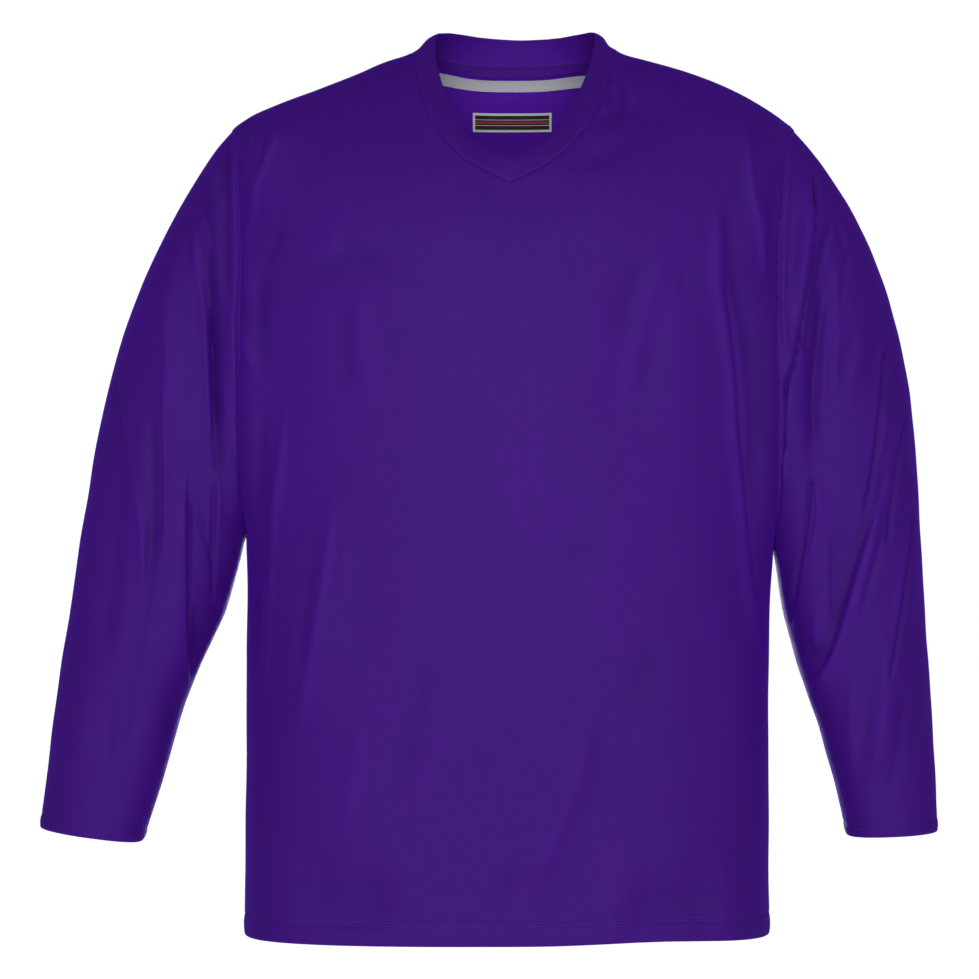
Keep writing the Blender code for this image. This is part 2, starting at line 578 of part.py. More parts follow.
def wall(name, outer, inner, closed=False):
    """One closed body between two grids of points."""
    rows, columns = outer.shape[:2]
    points = np.concatenate([outer.reshape(-1, 3), inner.reshape(-1, 3)])
    offset = rows * columns
    spans = columns if closed else columns - 1
    faces = []
    for i in range(rows - 1):
        for j in range(spans):
            a = i * columns + j
            b = i * columns + (j + 1) % columns
            c = b + columns
            d = a + columns
            faces += [(a, b, c), (a, c, d)]
            faces += [(offset + a, offset + c, offset + b), (offset + a, offset + d, offset + c)]
    for i, turn in ((0, 1), (rows - 1, -1)):
        for j in range(spans):
            a = i * columns + j
            b = i * columns + (j + 1) % columns
            quad = (a, offset + a, offset + b, b)[::turn]
            faces += [quad[:3], (quad[0], quad[2], quad[3])]
    if not closed:
        for j, turn in ((0, -1), (columns - 1, 1)):
            for i in range(rows - 1):
                a = i * columns + j
                b = a + columns
                quad = (a, offset + a, offset + b, b)[::turn]
                faces += [quad[:3], (quad[0], quad[2], quad[3])]
    corners = points[np.array(faces)]
    volume = np.einsum("ij,ij->i", corners[:, 0], np.cross(corners[:, 1], corners[:, 2])).sum()
    if volume < 0:
        faces = [face[::-1] for face in faces]
    mesh = bpy.data.meshes.new(name)
    mesh.from_pydata([tuple(p) for p in points], [], [tuple(f) for f in faces])
    mesh.materials.append(material(name))
    mesh.polygons.foreach_set("use_smooth", [True] * len(mesh.polygons))
    mesh.update()
    made = bpy.data.objects.new(name, mesh)
    bpy.context.scene.collection.objects.link(made)
    return made


def armhole_rows(grid, face):
    """The panel's rows whose ends are the armhole's own points, from the underarm up."""
    last = len(grid) - 1
    low = last - len(NECK_ROWS[face]) - ARMHOLE_STEPS
    return np.array([*range(low, low + ARMHOLE_STEPS), last])


def armhole_frames(front, back, sleeves):
    """Seam frames of both armholes, in the order of armhole_loop."""
    found = {}
    for side in (RIGHT, LEFT):
        edge, next_one = (0, 1) if side == RIGHT else (-1, -2)
        ways = []
        for face, grid in ((FRONT, front), (BACK, back)):
            way = (grid[:, next_one] - grid[:, edge])[armhole_rows(grid, face)]
            ways.append(way[::-1])
        body = np.concatenate([ways[0], ways[1][-2:0:-1]])
        for end, other in ((0, 0), (ARMHOLE_STEPS, ARMHOLE_STEPS)):
            body[end] = ways[0][other] + ways[1][other]
            body[end, 1] = 0
        body[ARMHOLE_STEPS] += (0, 0, -0.05)
        out = sleeves[side][1] - sleeves[side][0]
        seam = sleeves[side][0]
        inside = seam * (0, 0, 1) + np.array([side * 0.12, 0, 0])
        found[side] = frames(seam, body, out, inside, True)
    return found


def neck_frames(front, back, seam, top):
    """Seam frames round the neck, in the order of the band's own points."""
    first = SHOULDER_STEPS
    middle = first + FRONT_NECK_STEPS
    down_front = front[-2] - front[-1]
    down_back = back[-2] - back[-1]
    right = down_front[first:middle + 1][::-1]
    left = down_front[middle:-first][::-1]
    behind = down_back[first:-first]
    body = np.concatenate([right, behind[1:-1], left])
    for at, side in ((FRONT_NECK_STEPS, 0), (FRONT_NECK_STEPS + 2 * BACK_NECK_STEPS, -1)):
        seam_line = front[-1, first - 1] if side == 0 else front[-1, -first]
        body[at] = seam_line - seam[at + len(LAP_STEPS)]
    laps = len(LAP_STEPS)
    body = np.concatenate([[body[0]] * laps, body, [body[-1]] * laps])
    inside = np.array([0.004, 0.0, -0.16])
    return frames(seam, body, top - seam, inside, False)


def build_panel(name, grid, face, arm, neck):
    """A torso panel's wall from its points, relieved by its folds, seams set apart."""
    first = SHOULDER_STEPS
    arm_rows = armhole_rows(grid, face)
    arm_row = arm_rows[0]
    seams = [grid[:, 0], grid[:, -1], grid[-1]]
    normal = grid_normals(grid, outward_from=np.array([0, 0, -0.3]))
    height = relief(grid, FOLDS[name]) * calm(grid, seams)
    height *= 1 - smooth((np.abs(normal[..., 0]) - 0.55) / 0.4)
    outer = grid + normal * height[..., None]
    normal = grid_normals(outer, outward_from=np.array([0, 0, -0.3]))
    for part in (np.s_[:, 0], np.s_[:, -1], np.s_[-1, :first + 1], np.s_[-1, -first - 1:]):
        level = normal[part] * (1, 0, 1)
        normal[part] = unit(level)
    thick = np.full(grid.shape[0], CLOTH)
    thick[:2] = HEM_CLOTH
    wall_way = -normal * thick[:, None, None]
    for side, column in ((RIGHT, 0), (LEFT, -1)):
        across, body_way, _ = arm[side]
        if face == FRONT:
            order = list(range(ARMHOLE_STEPS, -1, -1))
        else:
            order = list(range(ARMHOLE_STEPS, 2 * ARMHOLE_STEPS)) + [0]
        outer[arm_rows, column] -= across[order] * SEAM_GAP / 2
        wall_way[arm_rows, column] = body_way[order] * CLOTH
    across, body_way, _ = neck
    laps = len(LAP_STEPS)
    if face == FRONT:
        middle = laps + FRONT_NECK_STEPS
        right = list(range(laps, middle + 1))[::-1]
        end = len(across) - 1 - laps
        left = list(range(end - FRONT_NECK_STEPS, end + 1))[::-1]
        order = right + left[1:]
    else:
        start = laps + FRONT_NECK_STEPS
        order = list(range(start, start + 2 * BACK_NECK_STEPS + 1))
    outer[-1, first:-first] -= across[order] * SEAM_GAP / 2
    wall_way[-1, first:-first] = body_way[order] * CLOTH
    shift = np.array([0, face * SEAM_GAP / 2, 0])
    outer[:arm_row + 1, 0] += shift
    outer[:arm_row + 1, -1] += shift
    outer[-1, :first + 1] += shift
    outer[-1, -first - 1:] += shift
    inner = outer + wall_way
    for column in (0, -1):
        low, high = grid[arm_rows[-2], column], grid[-1, column]
        for row in range(arm_rows[-2] + 1, len(grid) - 1):
            share = np.linalg.norm(grid[row, column] - high) / np.linalg.norm(low - high)
            for points in (outer, inner):
                rise = points[arm_rows[-2], column] - points[-1, column]
                points[row, column] = points[-1, column] + share * rise
    wall(name, outer, inner)
    return inner


def build_sleeve(name, grid, side, arm):
    across, _, sleeve_way = arm
    centre = grid.mean(axis=1, keepdims=True)
    normal = grid_normals(grid, closed=True, outward_from=centre)
    height = relief(grid, FOLDS[name]) * smooth(-normal[..., 1] / 0.5)
    height += relief(grid, FOLDS[name + "_behind"]) * smooth(normal[..., 1] / 0.5)
    height *= calm(grid, [grid[0]])
    outer = grid + normal * height[..., None]
    normal = grid_normals(outer, closed=True, outward_from=centre)
    thick = np.full(grid.shape[0], CLOTH)
    thick[-2:] = HEM_CLOTH
    wall_way = -normal * thick[:, None, None]
    outer[0] += across * SEAM_GAP / 2
    wall_way[0] = sleeve_way * CLOTH
    wall(name, outer, outer + wall_way, closed=True)


def build_band(seam, top, neck):
    across, _, band_way = neck
    share = np.linspace(0, 1, BAND_ROWS + 1)[:, None, None]
    grid = seam + share * (top - seam)
    outward = -unit(band_way)
    grid = grid + outward * (4 * share * (1 - share) * BAND_ROLL)
    middle = np.array([0.004, 0.02, -0.04])
    normal = grid_normals(grid, outward_from=middle)
    lift = np.zeros(len(seam))
    lift[:len(LAP_STEPS)] = 1
    lift[len(LAP_STEPS):len(LAP_STEPS) + len(LAP_RAMP)] = LAP_RAMP
    rise = outward * lift[:, None] * LAP_LIFT
    wall_way = -normal * BAND_CLOTH
    wall_way[0] = band_way * BAND_CLOTH
    outer = grid + rise
    outer[0] += across * SEAM_GAP / 2
    wall("collar", outer, outer + wall_way)


def on_back(inner, column, depth=None, z=None):
    """The point of the back's inside on a (fractional) column, this far below the neck or at z."""
    low = int(math.floor(column))
    share = column - low
    line = inner[::-1, low] * (1 - share)
    if share:
        line = line + inner[::-1, low + 1] * share
    run = np.concatenate([[0], np.cumsum(np.linalg.norm(np.diff(line, axis=0), axis=1))])
    if depth is None:
        depth = np.interp(-z, -line[:, 2], run)
    return np.array([np.interp(depth, run, line[:, k]) for k in range(3)])


def column_at(inner, x, z):
    """The fractional column of the back's inside that passes through this x at this z."""
    columns = np.arange(SHOULDER_STEPS + 1, inner.shape[1] - SHOULDER_STEPS - 1)
    xs = [on_back(inner, float(c), z=z)[0] for c in columns]
    return float(np.interp(x, xs, columns))


def skin(name, lines):
    """A thin wall on the inside of the back, from rows of points on it."""
    grid = np.array(lines)
    normal = grid_normals(grid, outward_from=np.array([0, -0.2, -0.05]))
    outer = grid - normal * TAPE_GAP
    wall(name, outer, outer - normal * TAPE_CLOTH)


def build():
    front = panel(FRONT)
    back = panel(BACK)
    sleeves = {side: sleeve(side) for side in (RIGHT, LEFT)}
    seam, top = band(front, back)
    arm = armhole_frames(front, back, sleeves)
    neck = neck_frames(front, back, seam, top)
    build_panel("front", front, FRONT, arm, neck)
    inner = build_panel("back", back, BACK, arm, neck)
    build_sleeve("sleeve_right", sleeves[RIGHT], RIGHT, arm[RIGHT])
    build_sleeve("sleeve_left", sleeves[LEFT], LEFT, arm[LEFT])
    build_band(seam, top, neck)
    first = SHOULDER_STEPS
    columns = np.arange(first + 1, inner.shape[1] - first - 1)
    skin("neck_tape", inner[-3:-1, columns])
    rows = []
    for z in LABEL_Z:
        ends = [column_at(inner, x, z) for x in LABEL_X]
        inside = [c for c in columns if ends[0] + 0.15 < c < ends[1] - 0.15]
        rows.append([on_back(inner, c, z=z) for c in [ends[0], *inside, ends[1]]])
    skin("neck_label", rows)


for old in list(bpy.data.objects):
    bpy.data.objects.remove(old, do_unlink=True)
build()
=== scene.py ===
# %% [markdown]
# # A practice jersey as it hangs when worn
#
# The jersey is two body panels, two long sleeves and a doubled V-neck band, with a tape and a
# small label inside the back neck. We load the plain solids first. They give every size, and each
# cloth piece below replaces one of them with a thin, creased shell of the same form.

# %% Load the solids
import collections
import math

import bmesh
import bpy
import mathutils
import numpy as np
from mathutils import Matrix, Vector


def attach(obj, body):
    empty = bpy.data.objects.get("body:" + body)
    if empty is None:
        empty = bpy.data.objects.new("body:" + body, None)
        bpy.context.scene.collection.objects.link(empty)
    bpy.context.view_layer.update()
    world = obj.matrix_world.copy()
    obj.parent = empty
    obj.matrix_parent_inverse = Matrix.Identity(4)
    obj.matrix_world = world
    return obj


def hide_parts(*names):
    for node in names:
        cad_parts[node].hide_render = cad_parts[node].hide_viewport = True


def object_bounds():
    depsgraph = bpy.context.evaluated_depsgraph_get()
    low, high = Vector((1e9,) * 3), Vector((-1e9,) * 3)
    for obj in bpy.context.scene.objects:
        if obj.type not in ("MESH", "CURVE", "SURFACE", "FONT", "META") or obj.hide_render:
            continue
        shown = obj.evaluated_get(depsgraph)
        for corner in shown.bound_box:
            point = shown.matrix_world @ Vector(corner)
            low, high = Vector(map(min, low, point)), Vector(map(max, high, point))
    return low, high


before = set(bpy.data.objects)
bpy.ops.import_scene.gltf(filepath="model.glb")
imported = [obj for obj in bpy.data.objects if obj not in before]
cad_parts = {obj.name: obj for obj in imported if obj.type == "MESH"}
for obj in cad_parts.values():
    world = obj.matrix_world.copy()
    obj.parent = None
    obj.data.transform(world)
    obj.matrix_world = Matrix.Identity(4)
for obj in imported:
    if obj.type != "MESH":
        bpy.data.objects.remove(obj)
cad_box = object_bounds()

MM = 0.001
size = [high - low for low, high in zip(*cad_box)]
print("solids:", sorted(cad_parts), "size", [round(s, 4) for s in size])

# %% [markdown]
# ## The body as a stack of sections
#
# A worn jersey is close to a tube that is wider than it is deep. One row of this table is one level
# of the tube: its half widths at the wearer's right and left side, its depth in front and behind,
# and how boxy the section is (2 is an ellipse, 3 is fuller at the corners). Metres, +Z up, and the
# chest faces -Y.

# %% Sections of the body
FRONT, BACK = -1, 1
RIGHT, LEFT = -1, 1
FACE_NAME = {FRONT: "front", BACK: "back"}
SIDE_NAME = {RIGHT: "right", LEFT: "left"}
Torso = collections.namedtuple("Torso", "z right left front back exponent")
TORSO = (
    Torso(-0.7815, 0.2372, 0.2328, 0.1245, 0.1210, 3.1),
    Torso(-0.6900, 0.2362, 0.2323, 0.1245, 0.1210, 3.0),
    Torso(-0.5400, 0.2350, 0.2323, 0.1260, 0.1215, 2.9),
    Torso(-0.4340, 0.2345, 0.2360, 0.1285, 0.1225, 2.7),
    Torso(-0.3800, 0.2430, 0.2430, 0.1310, 0.1230, 2.55),
    Torso(-0.3000, 0.2515, 0.2505, 0.1340, 0.1240, 2.45),
    Torso(-0.2450, 0.2530, 0.2510, 0.1330, 0.1230, 2.4),
    Torso(-0.1700, 0.2545, 0.2535, 0.1240, 0.1200, 2.35),
    Torso(-0.1200, 0.2560, 0.2585, 0.1085, 0.1150, 2.3),
    Torso(-0.0900, 0.2550, 0.2595, 0.0920, 0.1100, 2.25),
    Torso(-0.0653, 0.2495, 0.2568, 0.0760, 0.1040, 2.2),
    Torso(-0.0540, 0.2367, 0.2448, 0.0680, 0.0990, 2.2),
    Torso(-0.0405, 0.2075, 0.2250, 0.0580, 0.0940, 2.2),
    Torso(-0.0270, 0.1720, 0.2000, 0.0470, 0.0880, 2.2),
    Torso(-0.0135, 0.1377, 0.1668, 0.0360, 0.0820, 2.2),
    Torso(0.0000, 0.1044, 0.1210, 0.0225, 0.0720, 2.2),
    Torso(0.0030, 0.0880, 0.1085, 0.0190, 0.0705, 2.2),
    Torso(0.0060, 0.0780, 0.0957, 0.0160, 0.0690, 2.2),
)

Armhole = collections.namedtuple("Armhole", "top bottom front back front_exponent back_exponent")
ARMHOLES = {
    RIGHT: Armhole(-0.0653, -0.4224, 0.059, 0.062, 2.25, 3.0),
    LEFT: Armhole(-0.0653, -0.4350, 0.059, 0.062, 2.25, 3.0),
}

NeckEdge = collections.namedtuple("NeckEdge", "z right left")
FRONT_NECKLINE = (
    NeckEdge(-0.1195, 0.0000, 0.0000),
    NeckEdge(-0.1079, 0.0227, 0.0236),
    NeckEdge(-0.0949, 0.0433, 0.0433),
    NeckEdge(-0.0768, 0.0589, 0.0605),
    NeckEdge(-0.0568, 0.0713, 0.0752),
    NeckEdge(-0.0311, 0.0795, 0.0860),
    NeckEdge(-0.0100, 0.0848, 0.0920),
    NeckEdge(0.0030, 0.0880, 0.0943),
    NeckEdge(0.0060, 0.0888, 0.0957),
)
NECK_TOP = {RIGHT: 0.0030, LEFT: 0.0060}
print(len(TORSO), "sections from", TORSO[0].z, "to", TORSO[-1].z)

# %% [markdown]
# ## Reading a table smoothly
#
# Between two rows a straight line would leave a visible ridge round the body. A monotone cubic
# passes through every row, has no kinks, and never swings past the values on either side.

# %% Curves through tables


def cubic(start, leave, end, arrive, t):
    """A curve from start to end that leaves and arrives with these slopes."""
    return (start * (1 + 2 * t) * (1 - t) ** 2 + leave * t * (1 - t) ** 2
            + end * t * t * (3 - 2 * t) + arrive * t * t * (t - 1))


def along(table, at, *columns):
    """The values of a table's columns at places along its first column."""
    stops = np.array([row[0] for row in table])
    at = np.clip(np.asarray(at, float), stops[0], stops[-1])
    i = np.clip(np.searchsorted(stops, at, side="right") - 1, 0, len(stops) - 2)
    gap = np.diff(stops)
    t = (at - stops[i]) / gap[i]
    found = []
    for column in columns:
        values = np.array([getattr(row, column) for row in table])
        rate = np.diff(values) / gap
        slope = np.concatenate([rate[:1], np.zeros(len(values) - 2), rate[-1:]])
        same = rate[:-1] * rate[1:] > 0
        slope[1:-1][same] = 2 / (1 / rate[:-1][same] + 1 / rate[1:][same])
        found.append(cubic(values[i], slope[i] * gap[i], values[i + 1], slope[i + 1] * gap[i], t))
    return found


print("depth of the body in front at chest height:", along(TORSO, -0.3, "front")[0])

# %% [markdown]
# ## Lines and grids
#
# The rest of the model needs a few small tools: soft steps and bells to fade things in and out, and
# ways to walk along a line or to read a coarse grid between its points.

# %% Lines and grids


def unit(v):
    return v / np.maximum(np.linalg.norm(v, axis=-1, keepdims=True), 1e-12)


def smooth(t):
    """A soft step from 0 to 1."""
    t = np.clip(t, 0, 1)
    return t * t * (3 - 2 * t)


def bell(gap, width):
    """1 in the middle, and almost nothing at twice the width."""
    return np.exp(-((gap / width) ** 2))


def by_side(x, table):
    """A table's value for the wearer's side on which x lies."""
    return np.where(x < 0, table[RIGHT], table[LEFT])


def lengths(points):
    """How far each point lies along its line."""
    steps = np.linalg.norm(np.diff(points, axis=0), axis=1)
    return np.concatenate([[0], np.cumsum(steps)])


def spread(points, shares):
    """Points at shares of a line's length."""
    run = lengths(points)
    return np.stack([np.interp(shares * run[-1], run, points[:, k])
                     for k in range(points.shape[1])], axis=1)


def edge_at(lines, counts, at):
    """Points at fractional steps along lines laid end to end, each with its own count of steps."""
    found = np.zeros((len(at), lines[0].shape[1]))
    start = 0
    for line, count in zip(lines, counts):
        here = (at >= start) & (at <= start + count)
        found[here] = spread(line, (at[here] - start) / count)
        start += count
    return found


def refine(values, at, axis, breaks=()):
    """A grid read at fractional places along one axis; it may turn a corner at the breaks."""
    values = np.moveaxis(values, axis, 0)
    found = np.zeros((len(at), *values.shape[1:]))
    stops = [0, *breaks, len(values) - 1]
    for low, high in zip(stops[:-1], stops[1:]):
        part = values[low:high + 1]
        slope = np.gradient(part, axis=0)
        here = (at >= low) & (at <= high)
        i = np.clip(np.floor(at[here]).astype(int) - low, 0, high - low - 1)
        t = (at[here] - low - i).reshape(-1, *[1] * (values.ndim - 1))
        found[here] = cubic(part[i], slope[i], part[i + 1], slope[i + 1], t)
    return np.moveaxis(found, 0, axis)


print("a soft step:", smooth(np.linspace(0, 1, 5)))

# %% [markdown]
# ## From flat cloth to the body and back
#
# Cloth keeps its length, so a panel is easiest to lay out flat: how far round the body from the
# centre (a) and how high (z). These helpers bend that flat map round the sections, and read a point
# of the body back as a flat place.

# %% Bend flat cloth round the sections
TURN = np.linspace(0, math.pi / 2, 161)


def half_width(is_right, z):
    return np.where(is_right, *along(TORSO, z, "right", "left"))


def boxy(s, n):
    """Share of the depth that a section still has at a share s of its half width."""
    return (1 - s ** n) ** (1 / n)


def torso_at_x(x, z, face):
    depth, n = along(TORSO, z, FACE_NAME[face], "exponent")
    return face * depth * boxy(np.clip(np.abs(x) / half_width(x < 0, z), 0, 1), n)


def torso_at_y(y, z, side):
    width, front, back, n = along(TORSO, z, SIDE_NAME[side], "front", "back", "exponent")
    return width * boxy(np.clip(np.abs(y) / np.where(y < 0, front, back), 0, 1), n)


def quarters(is_right, z, face):
    """Each section's sizes, and how far round it each turn of a quarter lies."""
    width = half_width(is_right, z)
    depth, n = along(TORSO, z, FACE_NAME[face], "exponent")
    s = np.sin(TURN)
    x = width[:, None] * s
    y = depth[:, None] * boxy(s, n[:, None])
    step = np.hypot(np.diff(x, axis=1, prepend=0), np.diff(y, axis=1, prepend=y[:, :1]))
    return width, depth, n, np.cumsum(step, axis=1)


def flat_to_torso(flat, face):
    a = flat[..., 0].ravel()
    z = flat[..., 1].ravel()
    width, depth, n, run = quarters(a < 0, z, face)
    want = np.minimum(np.abs(a), run[:, -1])
    k = np.clip((run <= want[:, None]).sum(axis=1) - 1, 0, len(TURN) - 2)
    rows = np.arange(len(a))
    low = run[rows, k]
    turn = TURN[k] + (want - low) / (run[rows, k + 1] - low) * TURN[1]
    s = np.minimum(np.sin(turn), 1)
    y = face * depth * boxy(s, n)
    return np.stack([np.sign(a) * width * s, y, z], axis=1).reshape(*flat.shape[:-1], 3)


def torso_to_flat(points, face):
    width, _, _, run = quarters(points[:, 0] < 0, points[:, 2], face)
    turn = np.arcsin(np.clip(np.abs(points[:, 0]) / width, 0, 1)) / TURN[1]
    k = np.minimum(turn.astype(int), len(TURN) - 2)
    rows = np.arange(len(points))
    length = run[rows, k] + (turn - k) * (run[rows, k + 1] - run[rows, k])
    return np.stack([np.sign(points[:, 0]) * length, points[:, 2]], axis=1)


def torso_normals(points):
    """Outward normals of the body where it has these points."""

    def level(places):
        x, y, z = places.T
        front, back, n = along(TORSO, z, "front", "back", "exponent")
        depth = np.where(y < 0, front, back)
        return (np.abs(x) / half_width(x < 0, z)) ** n + (np.abs(y) / depth) ** n

    step = np.eye(3) * 0.5 * MM
    return unit(np.stack([level(points + s) - level(points - s) for s in step], axis=1))


print("round the chest:", quarters(np.array([True, False]), np.full(2, -0.3), FRONT)[3][:, -1].sum(),
      "m in front")

# %% [markdown]
# ## Cutting the panels
#
# A panel has four edges: the hem, two sides that run up the side seam and then round the armhole,
# and a top that runs along both shoulders and the neckline. Each edge is a line on the body, cut
# into counted steps, so that opposite edges of a panel match.

# %% Edge lines of the panels
SHOULDER_STEPS = 8
NECK_STEPS = {FRONT: 9, BACK: 5}
LOWER_STEPS = 13
ARMHOLE_STEPS = 16
HEM = TORSO[0].z


def oval(width, half, n, shares):
    """Half a rounded box from its top to its bottom; n may differ above and below."""
    turn = np.linspace(0, math.pi, 721)
    if isinstance(n, tuple):
        n = np.where(np.cos(turn) > 0, *n)
    up = np.sign(np.cos(turn)) * np.abs(np.cos(turn)) ** (2 / n) * half
    deep = np.abs(np.sin(turn)) ** (2 / n) * width
    return spread(np.stack([up, deep], axis=1), shares)


def armhole_half(side, face, shares):
    """Half an armhole, from its top to its bottom, in front or behind."""
    hole = ARMHOLES[side]
    width, n = ((hole.front, hole.front_exponent) if face == FRONT
                else (hole.back, hole.back_exponent))
    flat = oval(width, (hole.top - hole.bottom) / 2, n, shares)
    y = face * flat[:, 1]
    z = (hole.top + hole.bottom) / 2 + flat[:, 0]
    return np.stack([side * torso_at_y(y, z, side), y, z], axis=1)


def side_line(side, low, high):
    """The body's outermost line between two heights."""
    z = np.linspace(low, high, 200)
    return np.stack([side * along(TORSO, z, SIDE_NAME[side])[0], 0 * z, z], axis=1)


def shoulder_seam(side):
    return side_line(side, ARMHOLES[side].top, NECK_TOP[side])


def neckline(side, face):
    """From a side-neck point down to the V, or round to the centre back."""
    if face == FRONT:
        low = FRONT_NECKLINE[0].z
        z = low + (NECK_TOP[side] - low) * (1 - np.linspace(0, 1, 400) ** 1.6)
        x = side * along(FRONT_NECKLINE, z, SIDE_NAME[side])[0]
        y = torso_at_x(x, z, FRONT)
        x[0] = side * along(TORSO, z[0], SIDE_NAME[side])[0]
        y[0] = 0
        return np.stack([x, y, z], axis=1)
    s = np.cos(np.linspace(0, math.pi / 2, 400))
    z = NECK_TOP[side] * s ** 4
    width, depth, n = along(TORSO, z, SIDE_NAME[side], "back", "exponent")
    return np.stack([side * width * s, depth * boxy(s, n), z], axis=1)


def top_edge(face, at):
    """Shoulder, neckline and shoulder, from the wearer's right to the left."""
    lines = [shoulder_seam(RIGHT), neckline(RIGHT, face), neckline(LEFT, face)[::-1],
             shoulder_seam(LEFT)[::-1]]
    neck = NECK_STEPS[face]
    return edge_at(lines, [SHOULDER_STEPS, neck, neck, SHOULDER_STEPS], at)


def side_edge(side, face, at):
    """Side seam and half armhole, from the hem up."""
    seam = side_line(side, HEM, ARMHOLES[side].bottom)
    hole = armhole_half(side, face, np.linspace(0, 1, 1201))[::-1]
    return edge_at([seam, hole], [LOWER_STEPS, ARMHOLE_STEPS], at)


print("steps up a side:", LOWER_STEPS, "to the underarm and", ARMHOLE_STEPS, "round the armhole")

# %% [markdown]
# ## Filling a panel
#
# A coarse grid is stretched between the four edges and relaxed until its cells are even. The fine
# grid is then read from it, with extra lines near hem and seams, where the cloth turns sharply. Its
# outermost points are put back exactly on the edges, so two panels that share a seam share its
# line.

# %% Lay out the panels
RELAX_STEPS = 300
FINE = 5                   # fine rows to a coarse one
FINE_COLUMNS = {FRONT: 8, BACK: 10}
EDGE_REACH = 1.5           # coarse steps over which the fine grid is drawn to its exact edge
SEAM_PLACES = (0.02, 0.05, 0.09, 0.13)           # extra lines by a seam, in coarse steps
HEM_ROW = 27.1             # millimetres from the hem to the next coarse row
HEM_PLACES = tuple(h / HEM_ROW for h in (1, 2.5, 6.5, 11, 15.5, 17, 19.5, 21, 22, 24))


def relax(flat):
    """Evens out a flat grid in place, by Winslow's equations, keeping its four edges."""
    for _ in range(RELAX_STEPS):
        du = (flat[1:-1, 2:] - flat[1:-1, :-2]) / 2
        dv = (flat[2:, 1:-1] - flat[:-2, 1:-1]) / 2
        alpha = (dv ** 2).sum(-1, keepdims=True)
        gamma = (du ** 2).sum(-1, keepdims=True)
        beta = (du * dv).sum(-1, keepdims=True)
        twist = (flat[2:, 2:] - flat[2:, :-2] - flat[:-2, 2:] + flat[:-2, :-2]) / 2
        level = flat[1:-1, 2:] + flat[1:-1, :-2]
        upright = flat[2:, 1:-1] + flat[:-2, 1:-1]
        flat[1:-1, 1:-1] = (alpha * level + gamma * upright - beta * twist) / (2 * (alpha + gamma))


def places(count, fine, near_start=(), near_end=()):
    """Even fractional steps, with a few more close to either end for a turned edge."""
    at = np.linspace(0, count, count * fine + 1)
    return np.unique(np.concatenate([at, near_start, count - np.array(near_end, float)]))


def panel(face):
    """A panel's points on the body, and their flat places."""
    neck = NECK_STEPS[face]
    columns = 2 * (SHOULDER_STEPS + neck)
    rows = LOWER_STEPS + ARMHOLE_STEPS
    coarse_top = torso_to_flat(top_edge(face, np.arange(columns + 1)), face)
    coarse_sides = [torso_to_flat(side_edge(side, face, np.arange(rows + 1)), face)
                    for side in (RIGHT, LEFT)]
    low = (coarse_sides[0][:LOWER_STEPS + 1, 1] + coarse_sides[1][:LOWER_STEPS + 1, 1]) / 2
    v = (low - HEM) / (coarse_top[0, 1] - HEM)
    v = np.concatenate([v, np.linspace(v[-1], 1, ARMHOLE_STEPS + 1)[1:]])
    u = np.linspace(0, 1, columns + 1)
    bottom = np.stack([
        np.linspace(coarse_sides[0][0, 0], coarse_sides[1][0, 0], columns + 1),
        np.full(columns + 1, HEM),
    ], axis=1)
    flat = (1 - v[:, None, None]) * bottom + v[:, None, None] * coarse_top
    for side, pull in ((0, (1 - u) ** 3), (-1, u ** 3)):
        edge = coarse_sides[side] - flat[:, side]
        flat = flat + pull[None, :, None] * edge[:, None]
    relax(flat)
    u_at = places(columns, FINE_COLUMNS[face], SEAM_PLACES, SEAM_PLACES)
    v_at = places(rows, FINE, HEM_PLACES, SEAM_PLACES)
    flat = refine(flat, v_at, 0, breaks=(LOWER_STEPS,))
    corners = (SHOULDER_STEPS, SHOULDER_STEPS + neck, SHOULDER_STEPS + 2 * neck)
    flat = refine(flat, u_at, 1, breaks=corners if face == FRONT else (corners[0], corners[2]))
    top = top_edge(face, u_at)
    edges = [side_edge(side, face, v_at) for side in (RIGHT, LEFT)]
    near = np.clip(1 - (rows - v_at) / EDGE_REACH, 0, 1)[:, None, None]
    flat = flat + near * (torso_to_flat(top, face) - flat[-1])
    for column, edge, steps in ((0, edges[0], u_at), (-1, edges[1], columns - u_at)):
        near = np.clip(1 - steps / EDGE_REACH, 0, 1)
        shift = torso_to_flat(edge, face) - flat[:, column]
        flat = flat + near[None, :, None] * shift[:, None]
    points = flat_to_torso(flat, face)
    points[:, 0] = edges[0]
    points[:, -1] = edges[1]
    points[-1] = top
    return points, flat


panels = {face: panel(face) for face in (FRONT, BACK)}
for face, (points, _) in panels.items():
    print(FACE_NAME[face], "grid", points.shape[:2])

# %% [markdown]
# ## Shaping the sleeves
#
# A sleeve starts as the armhole, tall and narrow, and turns into the round of the arm. Each row
# gives one ring as the camera sees it: where its outer and inner edge lie. How deep the ring is in
# front and behind, and where its middle lies, is the same for both arms. The first rings blend from
# the true armhole, so the two edges meet exactly.

